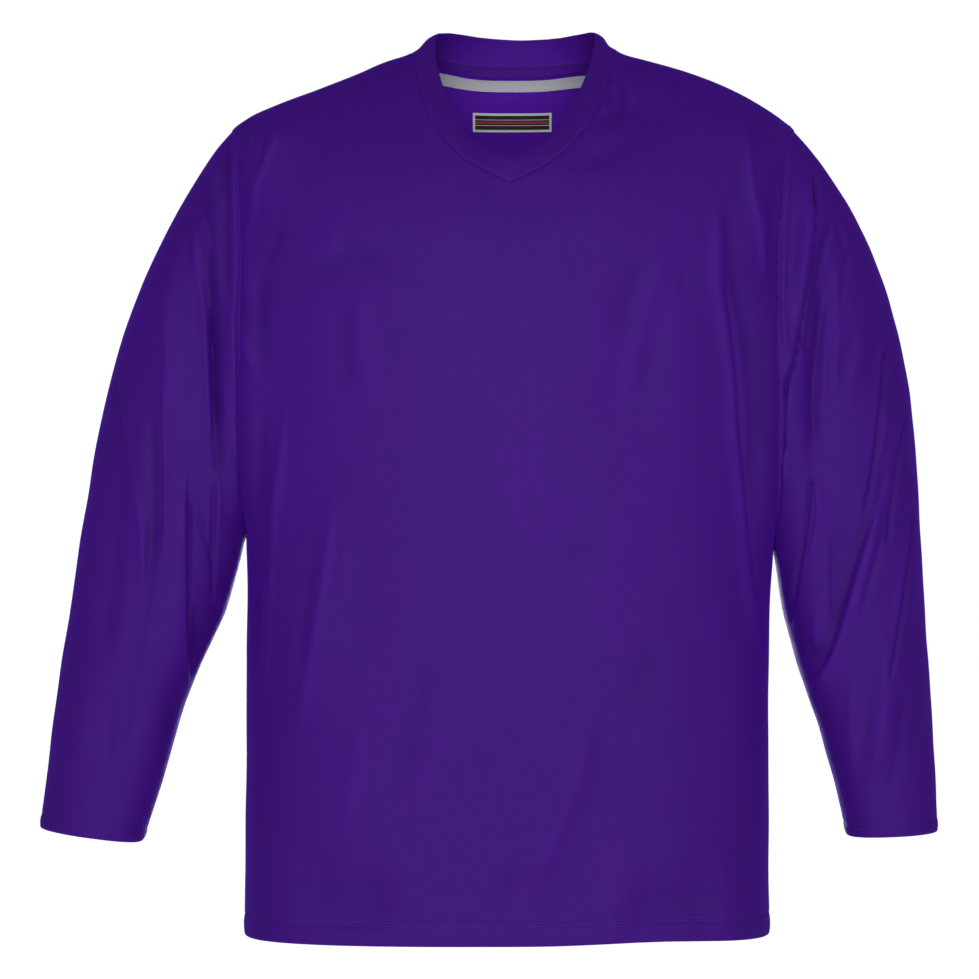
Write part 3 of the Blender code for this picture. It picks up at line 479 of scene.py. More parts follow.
# %% Rings of the sleeves
Ring = collections.namedtuple("Ring", "step out_x out_z in_x in_z")
SLEEVES = {
    RIGHT: (
        Ring(0.0, 0.2495, -0.0653, 0.2362, -0.4224),
        Ring(0.5, 0.2637, -0.0815, 0.2370, -0.4262),
        Ring(1.0, 0.2785, -0.1035, 0.2378, -0.4302),
        Ring(2.0, 0.3042, -0.1485, 0.2396, -0.4370),
        Ring(3.0, 0.3294, -0.2025, 0.2406, -0.4450),
        Ring(4.0, 0.3491, -0.2565, 0.2430, -0.4560),
        Ring(5.0, 0.3615, -0.3033, 0.2480, -0.4725),
        Ring(6.0, 0.3716, -0.3510, 0.2550, -0.4950),
        Ring(7.0, 0.3797, -0.4005, 0.2670, -0.5220),
        Ring(8.0, 0.3876, -0.4500, 0.2806, -0.5517),
        Ring(9.0, 0.3942, -0.4968, 0.2919, -0.5805),
        Ring(10.0, 0.4021, -0.5445, 0.3006, -0.6120),
        Ring(11.0, 0.4089, -0.5958, 0.3105, -0.6462),
        Ring(12.0, 0.4154, -0.6480, 0.3204, -0.6768),
        Ring(13.0, 0.4201, -0.6876, 0.3276, -0.7002),
    ),
    LEFT: (
        Ring(0.0, 0.2568, -0.0653, 0.2364, -0.4350),
        Ring(0.5, 0.2712, -0.0815, 0.2372, -0.4388),
        Ring(1.0, 0.2830, -0.0967, 0.2381, -0.4426),
        Ring(2.0, 0.3050, -0.1305, 0.2399, -0.4510),
        Ring(3.0, 0.3258, -0.1737, 0.2413, -0.4630),
        Ring(4.0, 0.3429, -0.2205, 0.2433, -0.4785),
        Ring(5.0, 0.3537, -0.2655, 0.2469, -0.4968),
        Ring(6.0, 0.3613, -0.3105, 0.2523, -0.5184),
        Ring(7.0, 0.3654, -0.3600, 0.2587, -0.5427),
        Ring(8.0, 0.3683, -0.4095, 0.2672, -0.5688),
        Ring(9.0, 0.3711, -0.4635, 0.2772, -0.5958),
        Ring(10.0, 0.3742, -0.5175, 0.2853, -0.6237),
        Ring(11.0, 0.3780, -0.5760, 0.2925, -0.6498),
        Ring(12.0, 0.3816, -0.6345, 0.2979, -0.6732),
        Ring(13.0, 0.3839, -0.6912, 0.3024, -0.6948),
    ),
}
ArmDepth = collections.namedtuple("ArmDepth", "step front back centre")
ARM_DEPTHS = (
    ArmDepth(0.0, 0.0590, 0.0620, 0.0000),
    ArmDepth(0.5, 0.0605, 0.0630, 0.0000),
    ArmDepth(1.0, 0.0620, 0.0640, 0.0000),
    ArmDepth(2.0, 0.0640, 0.0650, -0.0010),
    ArmDepth(3.0, 0.0655, 0.0655, -0.0020),
    ArmDepth(4.0, 0.0660, 0.0655, -0.0030),
    ArmDepth(5.0, 0.0655, 0.0650, -0.0040),
    ArmDepth(6.0, 0.0640, 0.0640, -0.0050),
    ArmDepth(7.0, 0.0620, 0.0620, -0.0060),
    ArmDepth(8.0, 0.0595, 0.0595, -0.0070),
    ArmDepth(9.0, 0.0565, 0.0565, -0.0080),
    ArmDepth(10.0, 0.0530, 0.0530, -0.0090),
    ArmDepth(11.0, 0.0495, 0.0495, -0.0100),
    ArmDepth(12.0, 0.0455, 0.0455, -0.0110),
    ArmDepth(13.0, 0.0430, 0.0430, -0.0120),
)
SLEEVE_EXPONENT = (1.95, 2.7)          # rounder over the arm, and fuller towards the body
CAP_BLEND = 4.0                        # steps over which the armhole turns into the arm's round
CUFF_PART = 0.8                        # the last part of a step has closer rings, for the hem
CAP_RINGS = (0, 0.01, 0.025, 0.045, 0.065)
ROUND_SHARES = {FRONT: np.linspace(0, 1, 231), BACK: np.linspace(0, 1, 81)}   # down half a ring


def armhole_loop(side):
    """The whole armhole, down its front and up its back."""
    front = armhole_half(side, FRONT, ROUND_SHARES[FRONT])
    back = armhole_half(side, BACK, ROUND_SHARES[BACK])
    return np.concatenate([front, back[-2:0:-1]])


def sleeve(side):
    """A sleeve's rings, from the armhole to the cuff; each starts at its outer edge."""
    last = SLEEVES[side][-1].step
    at = np.unique(np.concatenate([
        CAP_RINGS, np.linspace(0, last - CUFF_PART, 128),
        np.linspace(last - CUFF_PART, last, 20), [last - 0.015]]))
    out_x, out_z, in_x, in_z = along(SLEEVES[side], at, "out_x", "out_z", "in_x", "in_z")
    front, back, centre = along(ARM_DEPTHS, at, "front", "back", "centre")
    rest = armhole_loop(side)
    grid = np.zeros((len(at), len(rest), 3))
    for k in range(len(at)):
        outer = np.array([side * out_x[k], centre[k], out_z[k]])
        inner = np.array([side * in_x[k], centre[k], in_z[k]])
        half = np.linalg.norm(outer - inner) / 2
        fore = oval(front[k], half, SLEEVE_EXPONENT, ROUND_SHARES[FRONT])
        rear = oval(back[k], half, SLEEVE_EXPONENT, ROUND_SHARES[BACK])
        flat = np.concatenate([fore * (1, -1), rear[-2:0:-1]])
        grid[k] = (outer + inner) / 2 + flat[:, :1] * (outer - inner) / (2 * half)
        grid[k, :, 1] += flat[:, 1]
    rest = rest - grid[0]
    fade = 1 - smooth(at / CAP_BLEND)
    return grid + fade[:, None, None] * rest


sleeves = {side: sleeve(side) for side in (RIGHT, LEFT)}
print("sleeve grid", sleeves[RIGHT].shape[:2])

# %% [markdown]
# ## Folds
#
# Cloth under its own weight gathers in long troughs and ridges. Each is one line in front view with
# a height and a width either side, so a steep side and a soft side need no extra work. A trough has
# a negative height. All numbers are millimetres. This table holds the large folds, which the solids
# have too.

# %% Large folds
Fold = collections.namedtuple("Fold", "name rise near far line ends", defaults=(0.3,))
FOLDS = {
    "front": (
        Fold("right_yoke", 6, 22, 22, ((-204, -50), (-216, -95), (-222, -150))),
        Fold("left_yoke", 6, 20, 20, ((211, -53), (218, -120), (222, -194))),
        Fold("left_side", -2.5, 20, 26, ((188, -215), (198, -330), (206, -448), (218, -560))),
        Fold("right_side", 3, 20, 24, ((-206, -330), (-214, -420), (-210, -560))),
        Fold("right_waist", 4, 22, 26, ((-156, -400), (-164, -480), (-180, -600))),
        Fold("low_sweep", 4, 26, 30, ((80, -590), (45, -660), (0, -745))),
        Fold("hem_hollow_right", -5, 30, 24, ((-200, -735), (-150, -748), (-90, -738))),
        Fold("hem_hollow_left", -6, 34, 28, ((90, -745), (140, -758), (195, -748))),
        Fold("neck_pull", -4, 15, 18, ((84, -66), (115, -52), (150, -44))),
        Fold("chest_left", -4, 26, 30, ((122, -180), (112, -260), (88, -350))),
    ),
    "back": (
        Fold("back_right", -6, 24, 28, ((-150, -150), (-165, -260), (-178, -400))),
        Fold("back_left", -6, 24, 28, ((160, -160), (172, -290), (176, -420))),
        Fold("back_sweep", 5, 28, 30, ((-60, -380), (-20, -500), (40, -640))),
        Fold("back_waist", 5, 24, 26, ((150, -460), (128, -560), (110, -680))),
        Fold("back_low", -5, 30, 26, ((-180, -700), (-110, -735), (-30, -740))),
        Fold("shoulder_blade", 4, 30, 30, ((90, -80), (120, -130), (128, -200))),
    ),
    "sleeve_right": (
        Fold("seam_valley", -6, 12, 14, ((-282, -131), (-269, -219), (-259, -325), (-255, -410))),
        Fold("upper_ridge", 5, 16, 20, ((-312, -170), (-303, -260), (-299, -360))),
        Fold("elbow_step", -4.4, 34, 1.9, ((-282, -350), (-282, -470), (-283, -590))),
        Fold("elbow_edge", 3, 8, 16, ((-294, -375), (-295, -470), (-296, -580))),
        Fold("fore_fold", -5, 12, 18, ((-345, -300), (-350, -420), (-362, -560))),
        Fold("wrist_fold", -4, 12, 14, ((-352, -560), (-362, -640))),
    ),
    "sleeve_right_behind": (
        Fold("behind_elbow", -8, 16, 14, ((-352, -360), (-318, -420), (-284, -470))),
        Fold("behind_ridge", 6, 15, 15, ((-330, -220), (-300, -300), (-280, -400))),
        Fold("behind_fore", -5, 13, 15, ((-340, -480), (-356, -570), (-368, -640))),
    ),
    "sleeve_left_behind": (
        Fold("behind_elbow", -8, 15, 15, ((340, -330), (300, -410), (272, -470))),
        Fold("behind_ridge", 6, 15, 16, ((318, -200), (296, -280), (278, -380))),
        Fold("behind_fore", -5, 13, 15, ((318, -470), (330, -560), (340, -640))),
    ),
    "sleeve_left": (
        Fold("overlap", 6, 12, 14, ((266, -115), (262, -190), (250, -250))),
        Fold("overlap_valley", -6, 16, 8, ((281, -150), (273, -230), (264, -310), (268, -400))),
        Fold("outer_pull", -5, 12, 14, ((330, -200), (334, -250), (328, -310))),
        Fold("elbow_ridge", 5, 13, 13, ((336, -369), (312, -450), (287, -528))),
        Fold("elbow_trough", -5, 12, 13, ((350, -334), (329, -413), (298, -493), (279, -548))),
        Fold("inner_trough", -4, 12, 13, ((308, -396), (290, -470), (272, -540))),
        Fold("fore_ridge", 4, 14, 16, ((340, -500), (330, -590), (322, -660))),
    ),
}

print(sum(map(len, FOLDS.values())), "large folds")

# %% [markdown]
# ## Finer creases
#
# These lie only a millimetre or three deep, so the solids leave them out. They follow the same
# rule, but they are narrower, and many come in pairs: a pale crest with a dark trough beside it
# reads as one sharp crease. The hidden sides have creases of the same kind, placed a little
# differently on the left and the right.

# %% Fine creases
CREASES = {
    "front": (
        Fold("yoke_line", 2.8, 3.5, 3.5, (
            (-199.2, -58.5), (-202.7, -68.1), (-205.4, -76.8), (-210.5, -90.8), (-215.7, -106.5),
            (-220.8, -121.3), (-226.6, -143), (-231, -155.2)), 0.15),
        Fold("yoke_dip", -2, 4, 4, ((-208.8, -71.6), (-215.7, -90.8), (-222.7, -113.4))),
        Fold("yoke_line_b", 1.3, 4, 5, ((-221, -76.8), (-226.2, -94.3), (-229.7, -115.2))),
        Fold("yoke_shadow", -2.2, 8, 8, ((-221, -55.9), (-229.7, -65.5), (-237.5, -78.6))),
        Fold("seam_light_right", 2.2, 6.5, 2.8, (
            (-234, -138.7), (-231.9, -169.2), (-229.7, -191), (-229.3, -212.7), (-230.6, -231.9))),
        Fold("seam_light_low", 2.2, 5.5, 2.8, (
            (-235.8, -240.6), (-232.3, -260.7), (-227.1, -275.5), (-221, -289.4))),
        Fold("hollow_right", -2.4, 9, 6, (
            (-219.2, -188.4), (-219.2, -221.5), (-219.2, -247.6), (-218.4, -266.8), (-215.7, -287.7))),
        Fold("diagonal_right", -1.6, 4.5, 5, (
            (-199.2, -150.9), (-203.6, -164.8), (-209.6, -179.6), (-214.9, -193.6))),
        Fold("chest_shelf", -1.7, 10, 16, (
            (-210.5, -211), (-179.2, -196.2), (-153.9, -185.7), (-141.7, -178.8), (-124.3, -184.9),
            (-97.3, -191))),
        Fold("chest_light", 1, 9, 9, ((-182.6, -188.4), (-160.9, -177.9), (-143.4, -171.8))),
        Fold("chest_band_a", 1.8, 12, 9, (
            (-129.5, -202.3), (-129.5, -234.5), (-126.9, -271.1), (-125.1, -308.6))),
        Fold("chest_dark_a", -1.1, 8, 10, (
            (-144.3, -218), (-145.2, -251.9), (-144.3, -283.3), (-143.4, -308.6))),
        Fold("chest_band_b", 1.1, 10, 10, ((-102.5, -204), (-101.6, -221.5), (-104.2, -247.6))),
        Fold("side_line_right", 2.2, 4.5, 4.5, (
            (-196.6, -301.6), (-198.8, -343.4), (-200.5, -369.6), (-205.3, -406.2), (-207.9, -455.8),
            (-210.5, -504.6), (-214, -553.4), (-219.2, -596.1)), 0.2),
        Fold("side_dip_right", -1.8, 6, 6, (
            (-215.7, -304.2), (-217.9, -343.4), (-218.4, -387), (-219.2, -413.1))),
        Fold("side_dip_low", -1.8, 5, 5, ((-219.2, -469.7), (-221, -500.2), (-222.7, -530.7))),
        Fold("waist_line", 1.9, 5, 6, (
            (-153.9, -376.5), (-156.5, -431.4), (-161.3, -468), (-168.7, -516.8), (-176.1, -553.4),
            (-185.3, -600.4), (-190.5, -630.9))),
        Fold("waist_light", 1, 7, 7, ((-140, -421.8), (-143.4, -456.7), (-146.9, -482.8))),
        Fold("waist_dip", -1.2, 7, 6, ((-167, -413.1), (-177.4, -500.2), (-181.8, -569.9))),
        Fold("long_line_left", 2.4, 4.5, 7, (
            (182.4, -116.9), (182.4, -164.8), (182.4, -210.1), (189.9, -246.7), (194.6, -283.3),
            (198.1, -326), (199.8, -349.5), (205, -390.5), (207.7, -430.5), (212.9, -471.5),
            (218.5, -512.4), (223.3, -541.2)), 0.12),
        Fold("long_hair_left", -2, 2.8, 2.8, (
            (186.7, -177.9), (188.5, -208.4), (193.3, -246.7), (198.1, -283.3), (201.6, -326),
            (203.3, -349.5), (208.5, -390.5), (211.1, -430.5), (216.4, -471.5), (221.6, -512.4),
            (226, -535.1)), 0.12),
        Fold("long_dip_left", -2, 8, 5, (
            (191.1, -121.3), (192, -169.2), (196.3, -210.1), (205.9, -243.2), (210.3, -271.1),
            (213.8, -317.3), (213.8, -369.6), (218.1, -421.8)), 0.2),
        Fold("shoulder_line_left", 2.8, 2.8, 3.2, (
            (207.7, -52.4), (208.4, -73.4), (208.7, -97.7), (211.1, -126.5), (216.4, -150),
            (221.6, -177), (225.5, -203.2)), 0.15),
        Fold("shoulder_dip_left", -1.2, 6, 6, ((198.9, -73.4), (200.7, -108.2), (204.2, -147.4))),
        Fold("shoulder_dip_right", -1.4, 6, 4, ((219.9, -112.6), (225.1, -143), (230.3, -177.9))),
        Fold("seam_light_left", 1.6, 2.8, 4, (
            (244.2, -90.8), (240.3, -129.1), (237.7, -164.8), (236.4, -197.9), (235.5, -227.6),
            (237.3, -260.7))),
        Fold("armhole_hollow_left", -2, 9, 10, (
            (223.3, -221.5), (221.6, -273.7), (225.1, -326), (225.1, -369.6))),
        Fold("breast_dip", -1.3, 9, 10, (
            (115.3, -175.3), (111.8, -204), (97.9, -229.3), (92.7, -254.6))),
        Fold("breast_line", 1.9, 9, 9, (
            (134.5, -174.4), (121.4, -222.3), (111.8, -258.9), (102.2, -295.5), (96.1, -326))),
        Fold("breast_hollow", -1.3, 8, 9, ((144.9, -188.4), (151.9, -204), (157.1, -218.8))),
        Fold("breast_edge", -1, 7, 7, ((131, -247.6), (122.3, -282.4), (116.2, -308.6))),
        Fold("belly_band", 1.4, 18, 18, ((97.9, -387), (83.9, -456.7), (78.7, -526.4))),
        Fold("belly_dip", -1.4, 14, 16, ((43.9, -448), (70, -434.9), (89.2, -430.5))),
        Fold("flank_dip", -1.6, 14, 14, ((134.5, -517.7), (113.6, -552.5), (96.1, -587.4))),
        Fold("low_line_left", 1.7, 8, 8, (
            (73.5, -569.9), (58.7, -639.6), (33.4, -700.6), (-1.4, -751.1))),
        Fold("low_dip_left", -0.8, 9, 9, ((87.4, -561.2), (73.5, -639.6), (52.6, -700.6))),
        Fold("low_line_middle", 1.5, 10, 10, ((-47.6, -569.9), (-67.6, -622.2), (-97.3, -683.2))),
        Fold("low_dip_middle", -1.5, 8, 9, (
            (-71.1, -509), (-78.1, -561.2), (-92, -613.5), (-109.5, -657.1))),
        Fold("low_dip_centre", -1.4, 8, 9, ((2.1, -711.1), (-8.4, -735.5), (-18.9, -757.2))),
        Fold("low_line_right", 1.4, 9, 9, ((-130.4, -587.4), (-137.3, -648.3), (-147.8, -700.6))),
        Fold("hem_dip_right", -1, 9, 10, (
            (-215.7, -711.1), (-182.6, -738.1), (-143.4, -738.1), (-91.2, -719.8))),
        Fold("hem_dip_left", -1, 9, 9, (
            (97.9, -748.5), (126.6, -741.6), (165.8, -746.8), (205, -735.5))),
        Fold("fold_mark", 0.5, 4, 4, ((-152.2, -576), (-69.4, -574.3), (9, -575.2), (87.4, -574.3))),
        Fold("neck_pull_a", 1.8, 4.5, 4.5, ((86.9, -31.5), (101, -25.5), (116.2, -20.8)), 0.25),
        Fold("neck_pull_b", -2.4, 4.5, 4.5, ((83.9, -42.4), (95.5, -35.5), (110, -29)), 0.25),
        Fold("neck_pull_c", 2, 4.5, 5, ((80.2, -53.5), (97, -43.8), (116, -35)), 0.25),
        Fold("neck_pull_d", -2.2, 5, 6, ((71.1, -67.8), (99.3, -53.7), (124, -44.9)), 0.25),
        Fold("neck_pull_e", 1.6, 6, 8, ((58.5, -84.6), (98.9, -69.7), (126, -62)), 0.25),
        Fold("neck_pull_f", -1.2, 6, 6, ((49.1, -109.9), (89.2, -92.5), (131, -73.4))),
        Fold("neck_right_a", -1.2, 4, 5, ((-86.8, -28.1), (-102.5, -29.8), (-125.1, -36.8))),
        Fold("neck_right_b", 1.1, 5, 5, ((-79.8, -45.5), (-97.3, -47.2), (-121.7, -54.2))),
        Fold("neck_right_c", -1, 5, 6, ((-67.6, -68.1), (-91.2, -69.9), (-119.9, -76.8))),
    ),
    "sleeve_right": (
        Fold("cap_shadow", -3, 2.4, 4.5, (
            (-248.4, -65.6), (-250.2, -82.4), (-251.1, -119.5), (-251.5, -144.2), (-250.2, -175.1),
            (-247.5, -219.2)), 0.15),
        Fold("cap_hollow", -2.2, 4, 4.5, ((-253.7, -78), (-256.4, -100), (-258.1, -123.9))),
        Fold("seam_ridge", 2.4, 3, 3.5, (
            (-245.8, -70.9), (-244, -115.9), (-241.4, -151.3), (-240, -182.2), (-240.5, -209.5),
            (-243.6, -238.7), (-242.2, -268.7), (-240.9, -307.5), (-239.2, -338.4),
            (-237.8, -373.7)), 0.1),
        Fold("top_line", 1.8, 3.2, 3.2, (
            (-259, -83.3), (-261.7, -108), (-264.3, -119.5), (-266.1, -132.7))),
        Fold("top_dip", -1.6, 3, 3.5, ((-267, -102.7), (-267.9, -117.7), (-266.5, -145.1))),
        Fold("cap_pull_dark", -2.4, 3, 3.6, (
            (-276.7, -122.1), (-270.5, -141.5), (-265.2, -157.4), (-262.6, -176.9))),
        Fold("cap_pull_light", 2, 2.2, 2.4, (
            (-276.7, -136.2), (-271.4, -150.4), (-265.6, -164.5), (-262.6, -171.6))),
        Fold("outer_ridge", 2.6, 3, 4.5, (
            (-282.9, -138), (-281.1, -154.8), (-278.4, -182.2), (-274, -206), (-270.5, -221.9),
            (-266.1, -259), (-264.3, -288.1), (-262.6, -320.8), (-261.7, -351.7)), 0.15),
        Fold("outer_hair", -1.8, 2, 2.5, (
            (-283.3, -133.6), (-283.3, -149.5), (-284.2, -170.7), (-284.6, -187.5))),
        Fold("trough", -3.4, 5.5, 4.6, (
            (-265.2, -162.7), (-266.5, -185.7), (-266.1, -204.2), (-263.9, -221.9), (-261.7, -249.3),
            (-259.5, -278.4), (-258.1, -303.1), (-256.4, -325.2), (-254.6, -351.7), (-252.8, -373.7),
            (-252, -400.2)), 0.18),
        Fold("trough_deep", -3.4, 4.4, 3.8, (
            (-263.4, -219.2), (-260.8, -250.1), (-259, -281), (-257.3, -311.9),
            (-255.9, -338.4)), 0.25),
        Fold("inner_grey", -1.2, 5, 5, ((-253.7, -201.6), (-251.1, -263.4), (-247.5, -316.4))),
        Fold("arm_light_a", 1.8, 8, 3.5, (
            (-298.8, -173.3), (-300.5, -201.6), (-302.3, -221.9), (-302.3, -249.3), (-301, -281),
            (-299.6, -311.1), (-301.4, -334))),
        Fold("arm_light_b", 2, 2.8, 2.8, (
            (-304.1, -277.5), (-303.9, -307.5), (-303.2, -342.8), (-302.7, -378.2), (-302.8, -419.7),
            (-304.9, -448.8)), 0.2),
        Fold("arm_dark_b", -2, 4.5, 5, (
            (-314.6, -289.9), (-314.6, -342.8), (-312.9, -395.8), (-312.9, -444.4), (-316.4, -475.3))),
        Fold("arm_light_c", 1.6, 3.5, 3.5, (
            (-342, -347.3), (-335, -376.4), (-328.8, -398.5), (-324.4, -422.3), (-322.6, -453.2),
            (-322.6, -479.7), (-326.1, -510.6), (-330.5, -541.5))),
        Fold("arm_dark_c", -1.7, 5, 4, (
            (-316.4, -378.2), (-316.4, -417.9), (-318.2, -457.6), (-322.6, -492.9), (-327, -528.3),
            (-331.4, -576.8))),
        Fold("outer_dark", -2.4, 3, 4, (
            (-350.8, -281), (-348.2, -307.5), (-346.4, -334), (-344.7, -358.7))),
        Fold("step_light", 2.2, 1.4, 9, (
            (-285.5, -376.4), (-285.5, -422.3), (-285.5, -484.1), (-285.5, -532.7),
            (-284.6, -565.3)), 0.15),
        Fold("step_hair", -2.4, 1.7, 1.2, (
            (-281.1, -388.8), (-281.1, -448.8), (-281.3, -501.8), (-282, -544.1),
            (-282.6, -565.3)), 0.12),
        Fold("wrist_dark_a", -1.4, 5, 5, (
            (-330.5, -537.1), (-335, -572.4), (-340.2, -612.1), (-343.8, -638.6))),
        Fold("wrist_dark_b", -1.3, 4, 4, ((-299.6, -572.4), (-302.3, -590.1), (-305.8, -612.1))),
        Fold("wrist_light", 1, 7, 7, ((-357.9, -563.6), (-361.4, -607.7), (-365, -643))),
        Fold("recess_hair", -2.8, 2, 2.2, (
            (-258.1, -374.6), (-259.5, -418.8), (-259.6, -444.4), (-259.9, -466.5),
            (-260.3, -485.9)), 0.15),
        Fold("recess_fork", -2, 2.5, 3, (
            (-278.4, -397.6), (-269.6, -417.9), (-263.4, -438.2), (-260.3, -459.4))),
        Fold("recess_light", 2.8, 4.5, 2.6, (
            (-253.7, -364), (-255.6, -381.7), (-256.7, -404.6), (-256.7, -422.3), (-254.6, -437.3))),
        Fold("recess_light_b", 1.8, 3, 5, ((-240.5, -362.3), (-240.5, -391.4), (-242.2, -417))),
        Fold("recess_tail", 1.8, 1.8, 1.8, ((-259.9, -477), (-258.1, -487.6), (-254.6, -495.6))),
        Fold("recess_low", -2.4, 7, 4, ((-276.7, -484.1), (-275.8, -519.4), (-276.7, -547.7))),
    ),
    "sleeve_left": (
        Fold("seam_light", 2.4, 2.6, 2.4, (
            (250, -72.7), (247.1, -101.8), (244.9, -125.7), (243.3, -161.9), (241.8, -195.4),
            (240.7, -225.4), (242.8, -259.9), (244.9, -274)), 0.1),
        Fold("overlap_hair", -3.4, 2.2, 1.6, (
            (273, -97.4), (272.7, -108), (272.1, -136.2), (270.5, -161.9), (268.4, -183),
            (263, -210.4), (258.8, -231.6), (254.6, -252.8), (250.3, -272.2), (242.5, -292.5),
            (240.5, -308.4), (239.6, -325.2), (239.8, -342.8), (238.7, -364.9), (236.8, -395.8),
            (234.5, -426.7)), 0.06),
        Fold("cap_block", -2.6, 2.6, 2, ((273.2, -100.9), (272.8, -116.8), (272.5, -138)), 0.25),
        Fold("overlap_light", 2.8, 2.2, 7.5, (
            (267.2, -102.7), (267.2, -131), (265.4, -159.2), (261.9, -182.2), (258.4, -205.1)), 0.2),
        Fold("second_hair", -2.8, 2, 2, (
            (286.2, -143.3), (282.2, -157.4), (279, -169.8), (272.7, -195.4), (268.4, -214.8),
            (264.1, -231.6), (260.9, -252.8), (259.2, -270.4)), 0.12),
        Fold("second_light", 2, 3.2, 2, ((289.3, -148.6), (284.4, -169.8), (280.4, -187.5))),
        Fold("strip_grey", -1.4, 3, 3, ((279.5, -150.4), (273.4, -179.5), (265.4, -212.2))),
        Fold("outer_hair_a", -2, 2, 2.2, (
            (306.9, -164.5), (300.7, -176), (298.1, -185.7), (295, -203.3), (292.3, -225.4),
            (290.1, -247.5))),
        Fold("dent", -2, 2.2, 2.5, ((293.7, -148.6), (295, -162.7), (296.3, -176.9))),
        Fold("arm_light_a", 1.9, 3.6, 3.2, (
            (289.3, -176.9), (290.6, -204.2), (290.8, -225.4), (289.7, -250.1), (287.5, -276.6),
            (286.6, -311.1))),
        Fold("arm_dark_a", -2.8, 5, 5, (
            (279.5, -201.6), (274.8, -236), (269, -267.8), (265.4, -289), (265.4, -316.4),
            (266.3, -334), (263.7, -360.5)), 0.2),
        Fold("arm_light_b", 1.6, 3.6, 3.4, (
            (284, -207.8), (279.5, -246.6), (276.9, -289), (276, -328.7))),
        Fold("band_soft_a", 1.4, 6, 6, (
            (317.3, -238.7), (309.6, -265.2), (302.5, -288.1), (296.3, -318.1))),
        Fold("band_soft_b", -1.4, 5.5, 5.5, ((306.9, -242.2), (298.1, -270.4), (291.9, -296.9))),
        Fold("outer_hair_b", -3, 2, 2.2, (
            (342.2, -247.5), (339.8, -259.9), (334.3, -285.5), (330.1, -306.6), (327.2, -325.2),
            (325, -342.8), (322.8, -356.1), (318.2, -383.5), (310.4, -415.2)), 0.12),
        Fold("outer_light_b", 2.4, 2, 5, (
            (338.7, -238.7), (332.5, -270.4), (326.3, -296.9), (321.9, -319.9))),
        Fold("outer_light_c", 1.8, 3, 2.6, ((335.2, -314.6), (330.8, -338.4), (326.3, -360.5))),
        Fold("outer_hair_c", -2.8, 2, 2.6, (
            (353.7, -312.8), (348.2, -346.4), (344.8, -372), (339.1, -400.2), (336.7, -420.5),
            (332.5, -443.5)), 0.18),
        Fold("outer_light_d", 1.6, 2.6, 4, ((345.8, -318.1), (339.6, -347.3), (333.4, -372.9))),
        Fold("elbow_light", 3, 7, 2.2, (
            (340.5, -357), (329.9, -394.9), (320.6, -417.9), (311.3, -446.1), (302.1, -477.9),
            (292.8, -510.6), (283.7, -536.2), (274.2, -556.5), (266.3, -574.2)), 0.12),
        Fold("elbow_dark", -3, 2.4, 8, (
            (324.6, -391.4), (314.9, -420.5), (306, -448.8), (297.2, -477), (288.4, -507.1),
            (280.4, -532.7), (270.7, -553)), 0.15),
        Fold("elbow_wall", -1.5, 8, 1.8, (
            (284.4, -413.5), (283.7, -448.8), (283.7, -484.1), (284, -515.9))),
        Fold("elbow_light_b", 1.6, 2.8, 2.8, (
            (328.1, -409.9), (318.4, -441.7), (309.6, -475.3), (301.6, -507.1))),
        Fold("elbow_dark_b", -1.4, 2.4, 2.4, (
            (334.3, -409.9), (325.5, -440), (316.6, -470.9), (308.7, -501.8))),
        Fold("lower_hair", -3.2, 2.2, 1.8, (
            (359.9, -395.8), (358.7, -417.9), (355.2, -446.1), (351.7, -473.5), (347.1, -499.1),
            (342.5, -519.4), (337.8, -538), (332.5, -563.6)), 0.15),
        Fold("lower_light", 2.2, 1.8, 4.6, (
            (355.5, -409.1), (350.2, -448.8), (344, -484.1), (336.9, -523.8))),
        Fold("inner_hair", -2.8, 2, 2, (
            (268.1, -365.8), (263.2, -390.5), (261.7, -411.7), (258.3, -436.4), (254.8, -460.3),
            (252.5, -483.2), (250.2, -503.5), (248.6, -521.2)), 0.12),
        Fold("inner_light", 2, 4.5, 2.6, (
            (269.8, -371.1), (272, -403.8), (269, -426.7), (262.8, -452.3))),
        Fold("inner_patch", 2, 3, 2, ((241.1, -348.1), (241.1, -364.9), (240.3, -381.7))),
        Fold("inner_patch_b", 1.3, 5, 5, ((272.5, -484.1), (270.7, -510.6), (267.2, -532.7))),
        Fold("elbow_dent", -2.2, 5, 5, ((260.1, -515.9), (269, -532.7), (280.4, -526.5))),
        Fold("fore_line_a", 1.6, 6, 6, ((302.5, -545.9), (301.6, -598.9), (304.3, -651.9))),
        Fold("fore_line_b", 1.4, 5.5, 6, ((337.8, -537.1), (328.1, -603.3), (316.6, -660.7))),
        Fold("fore_dip_a", -1.4, 5.5, 6, ((327.2, -519.4), (316.6, -581.2), (311.3, -634.2))),
        Fold("fore_dip_b", -1.6, 5.5, 6, ((349.3, -554.7), (342.2, -616.5), (336.1, -665.1))),
        Fold("fore_wrinkle", 1, 3, 3, ((298.1, -613), (309.6, -611.2), (321.9, -608.6))),
    ),
    "back": (
        Fold("blade_line_right", 1.6, 12, 14, ((-120, -70), (-128, -140), (-124, -210))),
        Fold("blade_dip_right", -1.5, 10, 12, ((-150, -95), (-160, -160), (-158, -230))),
        Fold("arm_line_right", 2, 7, 9, ((-205, -60), (-212, -110), (-220, -170))),
        Fold("arm_dip_right", -1.8, 8, 8, ((-190, -90), (-200, -150), (-210, -220))),
        Fold("flank_line_right", 1.9, 8, 9, ((-196, -300), (-204, -400), (-212, -520))),
        Fold("flank_dip_right", -1.7, 8, 8, ((-176, -330), (-186, -430), (-192, -560))),
        Fold("waist_line_right", 1.6, 12, 12, ((-140, -420), (-150, -520), (-158, -640))),
        Fold("middle_dip", -1.5, 14, 16, ((-40, -250), (-52, -330), (-48, -420))),
        Fold("middle_line", 1.4, 16, 16, ((10, -300), (4, -390), (14, -480))),
